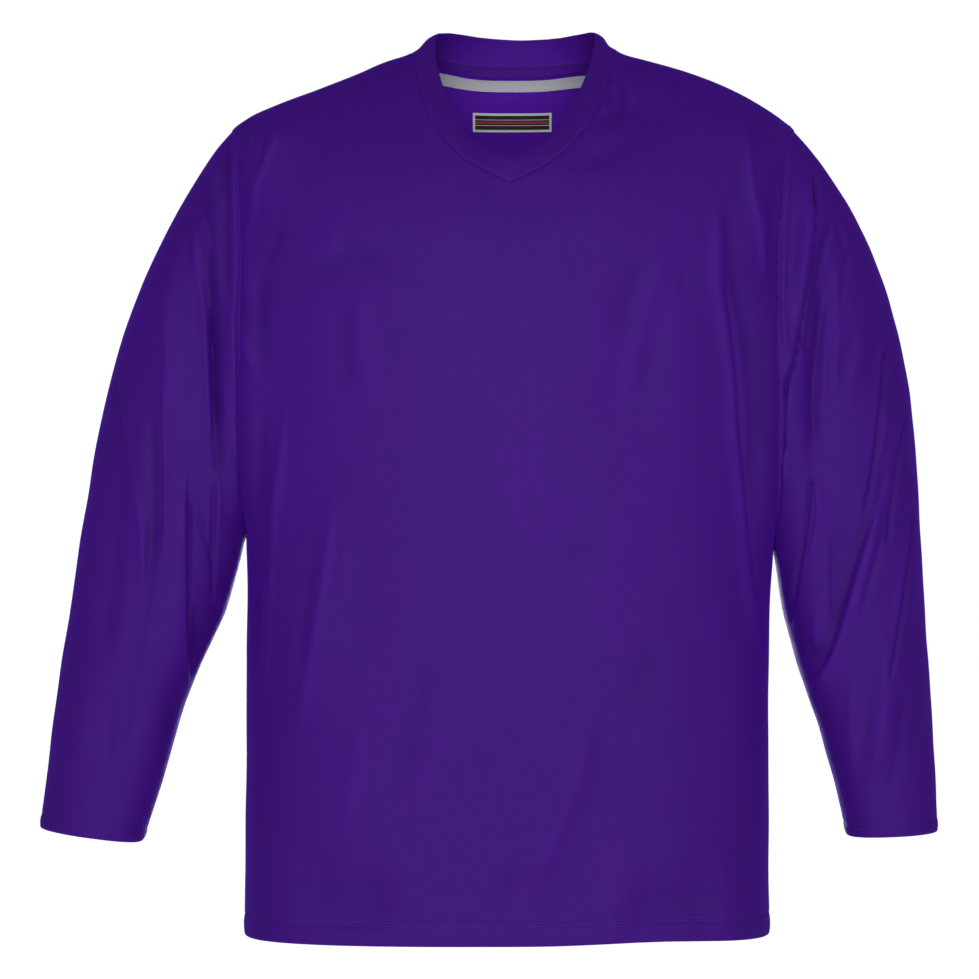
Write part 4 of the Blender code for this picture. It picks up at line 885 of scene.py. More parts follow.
        Fold("waist_dip_left", -1.6, 10, 12, ((96, -440), (84, -530), (88, -620))),
        Fold("flank_line_left", 2.2, 7, 8, ((186, -200), (194, -300), (204, -410), (214, -520))),
        Fold("flank_dip_left", -2.2, 9, 9, ((202, -240), (210, -340), (218, -440))),
        Fold("arm_line_left", 2, 7, 8, ((204, -58), (212, -110), (222, -180))),
        Fold("arm_dip_left", -1.6, 8, 8, ((188, -80), (196, -140), (204, -200))),
        Fold("low_line_back", 1.7, 12, 12, ((70, -580), (52, -650), (24, -720))),
        Fold("low_dip_back", -1.6, 10, 11, ((-70, -560), (-84, -630), (-104, -700))),
        Fold("hem_dip_back_right", -2.2, 9, 10, ((-200, -722), (-160, -742), (-100, -736))),
        Fold("hem_dip_back_left", -2, 9, 9, ((80, -740), (130, -748), (190, -734))),
        Fold("seat_line", 0.7, 5, 5, ((-120, -590), (-30, -586), (70, -590), (140, -584))),
        Fold("collar_pull_right", 1.2, 6, 7, ((-96, -30), (-126, -48), (-150, -80))),
        Fold("collar_pull_left", 1.2, 6, 7, ((104, -30), (134, -50), (156, -84))),
    ),
    "sleeve_right_behind": (
        Fold("behind_line_a", 2, 6, 7, ((-286, -150), (-276, -230), (-270, -320))),
        Fold("behind_dip_a", -2.4, 6, 7, ((-272, -120), (-262, -200), (-256, -290))),
        Fold("behind_line_b", 1.8, 8, 8, ((-320, -220), (-318, -300), (-312, -380))),
        Fold("behind_dip_b", -2, 7, 8, ((-342, -270), (-338, -350), (-330, -420))),
        Fold("elbow_line_a", 2.4, 6, 7, ((-364, -400), (-336, -440), (-306, -490), (-290, -530))),
        Fold("elbow_dip_a", -2.6, 6, 7, ((-372, -440), (-346, -480), (-318, -530))),
        Fold("elbow_line_b", 1.8, 6, 6, ((-350, -380), (-326, -410), (-296, -440))),
        Fold("behind_inner", -2, 5, 6, ((-262, -380), (-262, -450), (-280, -520))),
        Fold("behind_fore_line", 1.6, 7, 8, ((-334, -540), (-344, -610), (-352, -660))),
        Fold("behind_fore_dip", -1.6, 7, 7, ((-372, -540), (-380, -600), (-388, -650))),
    ),
    "sleeve_left_behind": (
        Fold("behind_line_a", 2.2, 6, 7, ((280, -150), (272, -240), (266, -330))),
        Fold("behind_dip_a", -2.2, 6, 7, ((296, -130), (290, -210), (284, -300))),
        Fold("behind_line_b", 1.7, 8, 9, ((318, -190), (314, -270), (306, -340))),
        Fold("behind_dip_b", -2, 7, 8, ((336, -250), (332, -320), (322, -390))),
        Fold("elbow_line_a", 2.6, 6, 7, ((348, -370), (322, -420), (294, -480), (276, -530))),
        Fold("elbow_dip_a", -2.6, 6, 7, ((356, -410), (330, -460), (304, -520))),
        Fold("elbow_line_b", 1.8, 6, 6, ((336, -340), (308, -380), (282, -420))),
        Fold("behind_inner", -2.2, 5, 6, ((254, -370), (252, -440), (262, -510))),
        Fold("behind_fore_line", 1.6, 7, 8, ((312, -530), (316, -600), (320, -660))),
        Fold("behind_fore_dip", -1.7, 7, 7, ((346, -520), (346, -590), (350, -650))),
    ),
}

print(sum(map(len, CREASES.values())), "fine creases")

# %% [markdown]
# ## From lines to heights
#
# For each point of the cloth we find the nearest place on a fold's line. The side on which the
# point lies picks the width, and a bell curve gives the height. Two slower forms join in: a gentle
# unevenness everywhere, and a bridge of cloth in front of each underarm, where a real sleeve is
# too stiff to sink into the corner.

# %% Heights of the folds
BRIDGE = 17 * MM           # how far the cloth comes forward before an underarm
BRIDGE_REACH = 36 * MM
BRIDGE_TOP = -0.13         # it starts below this height and is complete BRIDGE_GROWTH lower
BRIDGE_GROWTH = 150 * MM


def relief(points, folds):
    """Height of the folds at points, from their place in front view."""
    total = np.zeros(points.shape[:-1])
    x = points[..., 0] / MM
    z = points[..., 2] / MM
    for fold in folds:
        line = np.array(fold.line, float)
        steps = np.linalg.norm(np.diff(line, axis=0), axis=1)
        starts = np.concatenate([[0], np.cumsum(steps)])
        best = np.full(x.shape, 1e9)
        signed = np.zeros(x.shape)
        share = np.zeros(x.shape)
        for k in range(len(line) - 1):
            way = (line[k + 1] - line[k]) / steps[k]
            dx = x - line[k, 0]
            dz = z - line[k, 1]
            run = np.clip(dx * way[0] + dz * way[1], 0, steps[k])
            gap = np.hypot(dx - run * way[0], dz - run * way[1])
            near = gap < best
            best = np.where(near, gap, best)
            signed = np.where(near, dz * way[0] - dx * way[1], signed)
            share = np.where(near, (starts[k] + run) / starts[-1], share)
        width = np.where(signed > 0, fold.near, fold.far)
        ends = smooth(share / fold.ends) * smooth((1 - share) / fold.ends)
        total += fold.rise * MM * ends * bell(best, width)
    return total


def gap_to(points, line):
    """Distance from points to the nearest point of a line."""
    gap = np.full(points.shape[:-1], 1e9)
    for p in line:
        gap = np.minimum(gap, ((points - p) ** 2).sum(axis=-1))
    return np.sqrt(gap)


def drift(points, reach):
    """A slow unevenness of about one, so that no stretch of cloth is perfectly smooth."""
    x, y, z = np.moveaxis(points / reach, -1, 0)
    return (np.sin(1.7 * x + 0.9 * z + 0.4) * np.sin(1.1 * z - 0.6 * x + 1.3 * y + 2.1)
            + 0.6 * np.sin(2.9 * x - 1.3 * z + 5.1) * np.sin(2.3 * z + 1.9 * y + 0.7))


def forward(points):
    """The cloth in front of an underarm bridges the fold there instead of sinking into it."""
    moved = points.copy()
    for line in (armhole_half(side, FRONT, np.linspace(0.3, 1, 80)) for side in (RIGHT, LEFT)):
        near = bell(gap_to(points, line), BRIDGE_REACH)
        moved[..., 1] -= BRIDGE * near * smooth((BRIDGE_TOP - points[..., 2]) / BRIDGE_GROWTH)
    return moved


print("deepest large fold on the front:", round(relief(panels[FRONT][0], FOLDS["front"]).min(), 4))

# %% [markdown]
# ## Shells
#
# A sheet of cloth is a closed shell: an outer skin, an inner skin a millimetre below it, and rims
# that join them. A hem is rolled round half a circle, while a seam edge stays square, because the
# next piece covers it. Each point keeps its flat place as a UV, so the knit follows the cloth
# instead of the room, and one number of painted light and shade that makes it paler or darker.

# %% Build a shell
UV_NAME = "cloth"
PAINTED_SHADING_NAME = "tone"         # painted light and shade: how light each point of the cloth is painted, about 1
ROLL = 4                   # lines that roll a hem from its outer to its inner skin


def add_object(name, data):
    made = bpy.data.objects.new(name, data)
    bpy.context.scene.collection.objects.link(made)
    return made


def grid_normals(grid, outward_from, closed=False):
    if closed:
        across = np.roll(grid, -1, axis=1) - np.roll(grid, 1, axis=1)
    else:
        across = np.gradient(grid, axis=1)
    normal = unit(np.cross(across, np.gradient(grid, axis=0)))
    return normal if (normal * (grid - outward_from)).sum() > 0 else -normal


def rolled(outer, inner, before):
    """Lines that take an edge round half a circle from its outer to its inner skin."""
    middle = (outer + inner) / 2
    arm = (outer - inner) / 2
    reach = np.linalg.norm(arm, axis=1, keepdims=True)
    way = outer - before
    way = unit(way - (way * unit(arm)).sum(1, keepdims=True) * unit(arm)) * reach
    turns = math.pi * np.arange(1, ROLL + 1) / (ROLL + 1)
    return [middle + math.cos(t) * arm + math.sin(t) * way for t in turns]


def shell(name, outer, inner, uv, closed=False, roll=(), tones=None):
    """A closed mesh between two grids; roll names the ends, 0 or -1, that are rolled edges."""
    rows = len(outer)
    columns = outer.shape[1]
    # tones are painted light and shade for the outer and the inner skin
    tone, tone_inside = tones or (np.ones((rows, columns)),) * 2
    lines, places_uv, line_tones = [*outer], [*uv], [*tone]
    if -1 in roll:
        lines += rolled(outer[-1], inner[-1], outer[-2])
        places_uv += [uv[-1]] * ROLL
        line_tones += [tone[-1]] * ROLL
    lines += [*inner[::-1]]
    places_uv += [*uv[::-1]]
    line_tones += [*tone_inside[::-1]]
    if 0 in roll:
        lines += rolled(outer[0], inner[0], outer[1])[::-1]
        places_uv += [uv[0]] * ROLL
        line_tones += [tone[0]] * ROLL
    count = len(lines)
    across = columns if closed else columns - 1
    i, j = (g.ravel() for g in np.meshgrid(np.arange(count), np.arange(across), indexing="ij"))
    line = np.stack([i, i, i + 1, i + 1], axis=1)
    column = np.stack([j, j + 1, j + 1, j], axis=1)
    if not closed:
        mirror = 2 * rows - 1 + (ROLL if -1 in roll else 0)
        first = -(ROLL // 2) if 0 in roll else 0
        last = rows - 1 + (ROLL // 2 if -1 in roll else 0)
        r = np.arange(first, last)
        cap = np.stack([r, r + 1, mirror - r - 1, mirror - r], axis=1)
        line = np.concatenate([line, cap, cap[:, ::-1]])
        column = np.concatenate([column, 0 * cap, 0 * cap + columns - 1])
    line = line % count
    faces = line * columns + column % columns
    points = np.array(lines).reshape(-1, 3)
    a, b, c = (points[faces[:, k]] for k in range(3))
    if (a * np.cross(b, c)).sum() < 0:
        faces, line, column = faces[:, ::-1], line[:, ::-1], column[:, ::-1]
    mesh = bpy.data.meshes.new(name)
    mesh.from_pydata(points.tolist(), [], faces.tolist())
    corner_uv = np.array(places_uv)[line.ravel(), column.ravel()]
    layer = mesh.uv_layers.new(name=UV_NAME)
    layer.data.foreach_set("uv", corner_uv.astype(np.float32).ravel())
    # the point attribute stores the painted light and shade
    layer = mesh.attributes.new(PAINTED_SHADING_NAME, "FLOAT", "POINT")
    layer.data.foreach_set("value", np.array(line_tones, np.float32).ravel())
    mesh.shade_smooth()
    mesh.set_sharp_from_angle(angle=math.radians(60))
    print(name, "faces", len(mesh.polygons), "area", round(sum(p.area for p in mesh.polygons), 4))
    return add_object(name, mesh)

# %% [markdown]
# ## Hems
#
# A hem is the cloth's edge turned up inside and stitched. It is twice as thick, stands a little
# proud between the stitching and the edge, and the stitches pull it into a shallow groove with
# small puckers. One function gives that profile for the body's hem and for both cuffs.

# %% Profile of a turned and stitched hem
BODY_STITCHES = (16.5 * MM, 19.0 * MM)           # heights above the edge
CUFF_STITCHES = (10.8 * MM,)
CLOTH = 1.0 * MM
HEM_CLOTH = 2.4 * MM
HEM_PUFF = 0.7 * MM
HEM_FOLD = 1.5 * MM        # the turned-up cloth ends this far above the stitches
STITCH_DIP = 0.45 * MM
STITCH_WIDTH = 1.3 * MM
PUCKER = 0.18 * MM
PUCKER_LENGTH = 2.3 * MM
PUCKER_CHANGE = 31 * MM    # their spacing wanders over this length
PUCKER_REACH = 7 * MM


def hem_profile(height, run, stitches):
    """Outward shift and wall thickness at a height above the edge, run metres along it."""
    top = stitches[-1] + HEM_FOLD
    shift = HEM_PUFF * np.sin(math.pi * np.clip(height / stitches[0], 0, 1)) ** 0.8
    pucker = PUCKER * np.sin(run / PUCKER_LENGTH + 2 * np.sin(run / PUCKER_CHANGE))
    for at in stitches:
        shift = shift - STITCH_DIP * bell(height - at, STITCH_WIDTH)
    shift = shift + pucker * bell(height - stitches[0], PUCKER_REACH)
    thick = CLOTH + (HEM_CLOTH - CLOTH) * (1 - smooth((height - top) / (2 * MM)))
    return shift, thick


print("wall at the hem and above it:", hem_profile(np.array([0, 0.05]), 0, BODY_STITCHES)[1])

# %% [markdown]
# ## Seams
#
# The large folds die away near a seam, because a sewn edge is doubled and stiff, while the fine
# creases run close up to it. Along every seam the cloth dips in a narrow groove. The colour has
# light and shade painted in: crests and the armhole's seam get a painted highlight, troughs a
# painted shade, and the inside is paler, a little for the knit's wrong side and the rest painted
# light.

# %% Seams and tones
WRONG_SIDE_AND_PAINTED_LIGHT = 2.05         # the inside is paler: a little for the knit's wrong side, the rest painted light
CREST_HIGHLIGHT = 0.10          # painted highlight: crests are made a little paler
TROUGH_SHADE = 0.26         # painted shade: the bottoms of the troughs are darker
# painted highlight along the armhole's seam
SEAM_HIGHLIGHT = 0.30
SEAM_DIP = 1.0 * MM
SEAM_REACH = 0.9 * MM
ARM_DIP = 0.35 * MM        # shoulder and armhole seams lie flatter than the neck's
ARM_LIP = 0.35 * MM
SEAM_PULL = 0.06 * MM
LARGE_HOLD = (4 * MM, 24 * MM)         # a seam holds large folds down this far, and fades over this
FINE_HOLD = (0.5 * MM, 5 * MM)
SLOW_HOLD = (0, 25 * MM)


def seam_groove(gap, dip=SEAM_DIP, lip=0.3 * MM):
    """A narrow groove on the seam with a slight lip beside it."""
    return dip * np.exp(-gap / SEAM_REACH) - lip * bell(gap - 2.6 * MM, 1.4 * MM)


def arm_fade(z):
    """The armhole's groove fades towards the underarm, and again on the shoulder's top edge."""
    return smooth((z + 0.40) / 0.08) * (1 - 0.85 * smooth((z + 0.11) / 0.03))


def beside_neck(y):
    """1 beside the neck, where the cloth is seen edge on, and 0 before and behind it."""
    return bell(y, 28 * MM)


def drawn_in(edge, before):
    """An edge pulled a hair towards the line before it, so that two pieces never touch."""
    return edge + unit(before - edge) * SEAM_PULL


def let_go(gap, held, fade):
    """0 on a seam and where it holds the cloth, and 1 after the fade."""
    return smooth((gap - held) / fade)


def body_height(points, name, gap):
    """Heights of the body's large folds, fine creases and slow unevenness."""
    large = relief(points, FOLDS[name]) * let_go(gap, *LARGE_HOLD)
    fine = relief(points, CREASES[name]) * let_go(gap, *FINE_HOLD)
    slow = 0.45 * MM * drift(points, 0.045) * let_go(gap, *SLOW_HOLD)
    return large, fine, slow


def skin_tones(fine, arm_gap, z, neck_gap=None):
    """Painted light and shade on both skins: crests, armhole seam and inside paler, troughs darker."""
    # painted highlight on crests and the armhole's seam, painted shade in the troughs
    seam = bell(arm_gap, 0.9 * MM) * smooth((z + 0.41) / 0.06)
    tone = 1 + CREST_HIGHLIGHT * np.clip(fine / (2.5 * MM), 0, 1.2) + SEAM_HIGHLIGHT * seam
    tone += TROUGH_SHADE * np.clip(fine / (4 * MM), -1.2, 0)
    inside = np.full(tone.shape, WRONG_SIDE_AND_PAINTED_LIGHT)
    if neck_gap is not None:
        # the inside is painted lighter near the neck seam, with a painted shadow line right on the
        # seam
        inside *= 1 + 0.4 * bell(neck_gap, 8 * MM)
        inside *= 1 - 0.6 * bell(neck_gap, 1.0 * MM)
    return tone, inside


print("depth of the neck's groove:", seam_groove(np.zeros(1)))

# %% [markdown]
# ## The two body panels
#
# Each panel is the fine grid from above, raised by its folds along its own normals. Behind the neck
# the cloth rides up a little towards both sides, and so it does beside the band. The hem's front
# edge is lifted slightly at one place, as in the picture.

# %% Make the panels
HEM_LIFT = 3.5 * MM        # the front hem rides up a little near the wearer's left
HEM_LIFT_X = 0.135
HEM_LIFT_WIDTH = 0.075
HEM_LIFT_TOP = -0.60
BODY_MIDDLE = np.array([0, 0, -0.3])
RIDE_UP = {RIGHT: 5.5 * MM, LEFT: 3.0 * MM}
RIDE_UP_X = 66 * MM
NECK_RISE = {RIGHT: 3.0 * MM, LEFT: 3.5 * MM}       # beside the band, where it meets the shoulder
NECK_RISE_REACH = {RIGHT: 8.0 * MM, LEFT: 5.5 * MM}
RIDE_UP_WIDTH = 26 * MM
RIDE_UP_BEHIND = 35 * MM   # it grows over this depth behind the shoulder seams
RIDE_UP_LOW = 50 * MM      # and dies away at about this height below the neck


def ride_up(points, amount=1):
    """Behind the neck the cloth sits higher towards the sides, and beside the band as well."""
    x, y, z = np.moveaxis(points, -1, 0)
    rise = by_side(x, RIDE_UP) * bell(np.abs(x) - RIDE_UP_X, RIDE_UP_WIDTH)
    rise = rise * smooth(y / RIDE_UP_BEHIND)
    edge = np.where(x < 0, FRONT_NECKLINE[-1].right, FRONT_NECKLINE[-1].left)
    beside = by_side(x, NECK_RISE) * beside_neck(y)
    rise = rise + beside * np.exp(-np.maximum(np.abs(x) - edge, 0) / by_side(x, NECK_RISE_REACH))
    lifted = points.copy()
    lifted[..., 2] += rise * bell(z, RIDE_UP_LOW) * amount
    return lifted


def body_panel(made_name, name, face):
    points, flat = panels[face]
    grid = points.copy()
    arm_row = LOWER_STEPS * FINE + len(HEM_PLACES)
    side_gap = np.minimum(gap_to(grid, grid[::2, 0]), gap_to(grid, grid[::2, -1]))
    gap = np.minimum(side_gap, gap_to(grid, grid[-1, ::2]))
    if face == FRONT:
        reach = bell(grid[..., 0] - HEM_LIFT_X, HEM_LIFT_WIDTH)
        share = smooth((HEM_LIFT_TOP - grid[..., 2]) / (HEM_LIFT_TOP - HEM))
        grid[..., 2] += HEM_LIFT * reach * share * smooth(gap / (40 * MM))
    normal = grid_normals(grid, BODY_MIDDLE)
    large, fine, slow = body_height(grid, name, gap)
    flank = 1 - smooth((np.abs(normal[..., 0]) - 0.55) / 0.4)
    flank_fine = 1 - smooth((np.abs(normal[..., 0]) - 0.8) / 0.19)
    outer = grid + normal * (large * flank + fine * flank_fine + slow)[..., None]
    outer = forward(outer)
    normal = grid_normals(outer, BODY_MIDDLE)
    corner = SHOULDER_STEPS * FINE_COLUMNS[face] + len(SEAM_PLACES)
    for part in (np.s_[:arm_row + 1, 0], np.s_[:arm_row + 1, -1], np.s_[-1, :corner + 1],
                 np.s_[-1, -corner - 1:]):
        normal[part] = unit(normal[part] * (1, 0, 1))
    height = grid[..., 2] - grid[0, :, 2]
    shift, thick = hem_profile(height, flat[..., 0], BODY_STITCHES)
    neck_gap = gap_to(grid, grid[-1, corner:-corner:2])
    shift = shift * smooth(side_gap / (6 * MM))
    shift -= seam_groove(neck_gap) * (1 - 0.7 * beside_neck(grid[..., 1]))
    plain_gap = np.where(neck_gap > 6 * MM, gap, 1)
    shift -= seam_groove(plain_gap, ARM_DIP, ARM_LIP) * arm_fade(grid[..., 2])
    outer = outer + normal * shift[..., None]
    outer[:, 0] = drawn_in(outer[:, 0], outer[:, 1])
    outer[:, -1] = drawn_in(outer[:, -1], outer[:, -2])
    outer[-1] = drawn_in(outer[-1], outer[-2])
    inner = ride_up(outer - normal * thick[..., None])
    outer = ride_up(outer)
    tones = skin_tones(fine, side_gap, grid[..., 2], neck_gap)
    return shell(made_name, outer, inner, flat, roll=(0,), tones=tones), outer


front, front_skin = body_panel("front_panel", "front", FRONT)
back, back_skin = body_panel("back_panel", "back", BACK)

# %% [markdown]
# ## The sleeves
#
# A sleeve is one closed tube of rings. Folds seen from the front belong to the half that faces the
# front, and the back half has its own, a little different, as a bent arm would leave them. Inside
# the armhole we add a narrow seam allowance, so that no slit opens between sleeve and body.

# %% Make the sleeves
ALLOWANCE = ((7.0 * MM, 2.6 * MM), (1.5 * MM, 1.7 * MM))   # under the body: how far in, how deep
ALLOWANCE_CLOTH = 0.8 * MM


def tucked(seam, from_point):
    """Lines of a seam allowance under the body's cloth, the deepest first."""
    normal = torso_normals(seam)
    inwards = unit(np.cross(normal, np.cross(seam - from_point, normal)))
    return [seam + inwards * far - normal * deep for far, deep in ALLOWANCE]


def dress_sleeve(made_name, name, side):
    grid = sleeves[side]
    centre = grid.mean(axis=1, keepdims=True)
    normal = grid_normals(grid, centre, closed=True)
    gap = gap_to(grid, grid[0, ::2])
    behind = name + "_behind"
    fore, aft = smooth(-normal[..., 1] / 0.5), smooth(normal[..., 1] / 0.5)
    large = relief(grid, FOLDS[name]) * fore + relief(grid, FOLDS[behind]) * aft
    fine = relief(grid, CREASES[name]) * fore + relief(grid, CREASES[behind]) * aft
    fine *= let_go(gap, *FINE_HOLD)
    height = large * let_go(gap, *LARGE_HOLD) + fine
    height += 0.35 * MM * drift(grid, 0.03) * let_go(gap, *SLOW_HOLD)
    outer = forward(grid + normal * height[..., None])
    normal = grid_normals(outer, centre, closed=True)
    around = np.linalg.norm(np.diff(outer, axis=1, append=outer[:, :1]), axis=2)
    around = np.concatenate([np.zeros((len(grid), 1)), np.cumsum(around, axis=1)], axis=1)
    down = np.linalg.norm(np.diff(outer, axis=0), axis=2)[::-1].cumsum(axis=0)[::-1]
    down = np.concatenate([down, np.zeros((1, down.shape[1]))])
    shift, thick = hem_profile(down, around[:, :-1], CUFF_STITCHES)
    shift -= seam_groove(gap, ARM_DIP, ARM_LIP) * arm_fade(grid[..., 2])
    outer = outer + normal * shift[..., None]
    outer[0] = drawn_in(outer[0], outer[1])
    inner = outer - normal * thick[..., None]
    tucks = [forward(line) for line in tucked(grid[0], grid[0].mean(axis=0))]
    inner_tucks = [line - torso_normals(grid[0]) * ALLOWANCE_CLOTH for line in tucks]
    uv = np.stack([around, np.concatenate([down, down[:, :1]], axis=1)], axis=2)
    tuck_uv = [uv[0] + (0, far) for far, _ in ALLOWANCE]
    tones = [np.concatenate([tone[:1]] * len(tucks) + [tone])
             for tone in skin_tones(fine, gap, grid[..., 2])]
    made = shell(made_name, np.concatenate([tucks, outer]), np.concatenate([inner_tucks, inner]),
                 np.concatenate([tuck_uv, uv]), closed=True, roll=(-1,), tones=tones)
    return made, outer, normal, down


sleeve_right, *right_skin = dress_sleeve("right_sleeve", "sleeve_right", RIGHT)
sleeve_left, *left_skin = dress_sleeve("left_sleeve", "sleeve_left", LEFT)

# %% [markdown]
# ## The neck band
#
# The band is a strip folded double and sewn round the neckline, so its free edge is a round fold.
# It stands up behind the neck and meets at the V, where the wearer's right end lies over the left.
# We draw its seam and its free edge first.

# %% Make the neck band
BandEdge = collections.namedtuple("BandEdge", "z right left depth")
BAND_EDGE = (
    BandEdge(-0.0978, 0.0000, 0.0000, 0.1000),
    BandEdge(-0.0882, 0.0234, 0.0236, 0.0920),
    BandEdge(-0.0730, 0.0391, 0.0400, 0.0800),
    BandEdge(-0.0382, 0.0560, 0.0600, 0.0520),
    BandEdge(-0.0059, 0.0650, 0.0726, 0.0270),
    BandEdge(0.0135, 0.0672, 0.0772, 0.0100),
    BandEdge(0.0235, 0.0658, 0.0785, 0.0020),
)
BAND_BACK_CENTRE = np.array([0.0090, 0.0655, 0.0263])
BAND_FLANK_RISE = {RIGHT: 3.4 * MM, LEFT: 1.8 * MM}
EDGE_LIFT = (                          # metres along X, and how far its free edge rises behind
    (-0.070, 0.4 * MM), (-0.0545, 1.4 * MM), (-0.0415, 0.3 * MM), (-0.029, -1.0 * MM),
    (-0.016, -1.35 * MM), (0.010, -1.3 * MM), (0.036, -1.2 * MM), (0.0485, -0.45 * MM),
    (0.061, 1.3 * MM), (0.0735, 2.8 * MM), (0.080, 1.6 * MM))
EDGE_PASSES = 40           # smoothing that rounds the free edge where front and back meet
LAP = 9.5 * MM             # the ends run past the V by this much


def band_edge(side):
    """The band's free edge in front, from the V up to the side of the neck."""
    z = np.linspace(BAND_EDGE[0].z, BAND_EDGE[-1].z, 400)
    x, depth = along(BAND_EDGE, z, SIDE_NAME[side], "depth")
    return np.stack([side * x, -depth, z], axis=1)


def band_edge_behind(side):
    """Its free edge behind, from the side of the neck to the centre back."""
    end, centre = band_edge(side)[-1], BAND_BACK_CENTRE
    turn = np.linspace(0, math.pi / 2, 300)[:, None]
    line = end * (0, 1, 1) + centre * (1, 0, 0)
    line = line + (end - centre) * (1, 0, 0) * np.cos(turn) ** 0.92
    line = line + (centre - end) * (0, 1, 0) * np.sin(turn) ** 0.92
    line = line + (centre - end) * (0, 0, 1) * np.sin(turn) ** 2
    return line + np.array([0, 0, BAND_FLANK_RISE[side]]) * np.sin(2 * turn)


def past_the_v(side, steps):
    """Both edges of a band end, from the V on along the other side's neckline."""
    low = FRONT_NECKLINE[0]
    high = FRONT_NECKLINE[1]
    share = steps / (high.right if side == RIGHT else high.left)
    z = low.z + share * (high.z - low.z)
    seam = np.stack([side * steps, torso_at_x(side * steps, z, FRONT), z], axis=1)
    top = band_edge(side)[0] + np.stack([side * steps, 0 * steps, -0.0006 * steps / LAP], axis=1)
    return seam, top


front_neck, back_neck = NECK_STEPS[FRONT], NECK_STEPS[BACK]
counts = [front_neck, back_neck, back_neck, front_neck]
round_neck = np.linspace(0, sum(counts), sum(counts) * 10 + 1)
lap_steps = np.linspace(LAP, 0, 13)[:-1]
over_seam, over_top = past_the_v(LEFT, lap_steps)
under_seam, under_top = past_the_v(RIGHT, lap_steps[::-1])
seam_lines = [neckline(RIGHT, FRONT)[::-1], neckline(RIGHT, BACK), neckline(LEFT, BACK)[::-1],
              neckline(LEFT, FRONT)]
top_lines = [band_edge(RIGHT), band_edge_behind(RIGHT), band_edge_behind(LEFT)[::-1],
             band_edge(LEFT)[::-1]]
neck_seam = np.concatenate([over_seam, edge_at(seam_lines, counts, round_neck), under_seam])
free_edge = edge_at(top_lines, counts, round_neck)
for _ in range(EDGE_PASSES):
    free_edge[1:-1] = (free_edge[:-2] + 2 * free_edge[1:-1] + free_edge[2:]) / 4
free_edge[:, 2] += np.interp(free_edge[:, 0], *zip(*EDGE_LIFT)) * smooth(free_edge[:, 2] / 0.02)
neck_top = np.concatenate([over_top, free_edge, under_top])
print("neck seam", round(lengths(neck_seam)[-1], 3), "m, free edge", round(lengths(neck_top)[-1], 3))

# %% [markdown]
# ## Filling the band
#
# Between the seam and the free edge the band swells like the doubled strip it is. At the V its
# upper end lifts by a little more than its thickness, because it lies over the other end. The seam
# allowance below it is hidden under the body's cloth.

# %% Fill the band
BAND_ROLL = 1.2 * MM
BAND_CLOTH = 1.5 * MM
BAND_SWELL = (0.8 * MM, 1.2 * MM)      # beside the neck the band stands as a shallow S
LAP_LIFT = 1.8 * MM
LAP_TONE = 0.08            # paler where the two ends overlap at the V
BAND_HEIGHT = 21 * MM      # from the neck seam to the free edge, along the cloth
ACROSS = np.array([0, 0.025, 0.06, 0.11, 0.17, 0.26, 0.36, 0.46, 0.56, 0.66, 0.76, 0.86, 0.94, 1])
NECK_MIDDLE = np.array([0.004, 0, 0.03])
BELOW_NECK = np.array([0.004, 0.02, -0.04])
# the band's inside is paler: a little for the knit's wrong side, the rest painted light
BAND_WRONG_SIDE_AND_PAINTED_LIGHT = 1.45

share = ACROSS[:, None, None]
strip = neck_seam + share * (neck_top - neck_seam)
outward = grid_normals(strip, BELOW_NECK)
beside = beside_neck(strip[..., 1:2])
arch = 4 * share * (1 - share)
swell = (1 - beside) * BAND_ROLL * arch
swell += beside * (BAND_SWELL[0] * arch - BAND_SWELL[1] * np.sin(2 * math.pi * share))
strip = ride_up(strip + outward * swell, 1 - share[..., 0])
along_neck = lengths(neck_seam)
from_v = along_neck - along_neck[len(lap_steps)]
lift = LAP_LIFT * (1 - smooth((from_v - 12 * MM) / (35 * MM)))
drop = seam_groove(ACROSS[:, None] * 20 * MM) * (1 - 0.7 * beside[..., 0])
wave = 0.2 * MM * drift(strip, 0.012) * arch[..., 0]
band_skin = strip + outward * (lift - drop + wave)[..., None]
band_skin[0] = drawn_in(band_skin[0], band_skin[1])
normal = grid_normals(band_skin, BELOW_NECK)
tucks = [ride_up(line) for line in tucked(neck_seam, NECK_MIDDLE)]
inner_tucks = [line - torso_normals(neck_seam) * ALLOWANCE_CLOTH for line in tucks]
band_uv = np.stack(np.broadcast_arrays(along_neck, ACROSS[:, None] * BAND_HEIGHT), axis=2)
tuck_uv = [band_uv[0] - (0, far) for far, _ in ALLOWANCE]
band_gap = np.concatenate([[far for far, _ in ALLOWANCE], ACROSS * BAND_HEIGHT])[:, None]
# painted light inside the band, with a painted shadow line along its seam
band_inside = BAND_WRONG_SIDE_AND_PAINTED_LIGHT * (1 - 0.5 * bell(band_gap, 1.0 * MM)) * np.ones(len(neck_seam))
# a painted highlight on the band just above its seam, then the paler lap at the V
band_tone = 0.97 + 0.09 * bell(band_gap - 1.3 * MM, 0.8 * MM)
band_tone = band_tone + LAP_TONE * smooth((LAP + 1 * MM - np.abs(from_v)) / (2 * MM))
collar = shell("neck_band", np.concatenate([tucks, band_skin]),
               np.concatenate([inner_tucks, band_skin - normal * BAND_CLOTH]),
               np.concatenate([tuck_uv, band_uv]), roll=(-1,),
               tones=(band_tone, band_inside))

# %% [markdown]
# ## Neck tape and label
#
# A narrow twill tape covers the neck seam inside the back, and a woven label hangs just below it.
# Both follow the inside of the back panel at a hair's distance, so we lay their grids on the same
# body surface and fold heights.

# %% Make the tape and the label
LABEL_X = (-0.0330, 0.0400)
LABEL_Z = (-0.0546, -0.0379)
TAPE_DEPTHS = (9 * MM, 19 * MM)


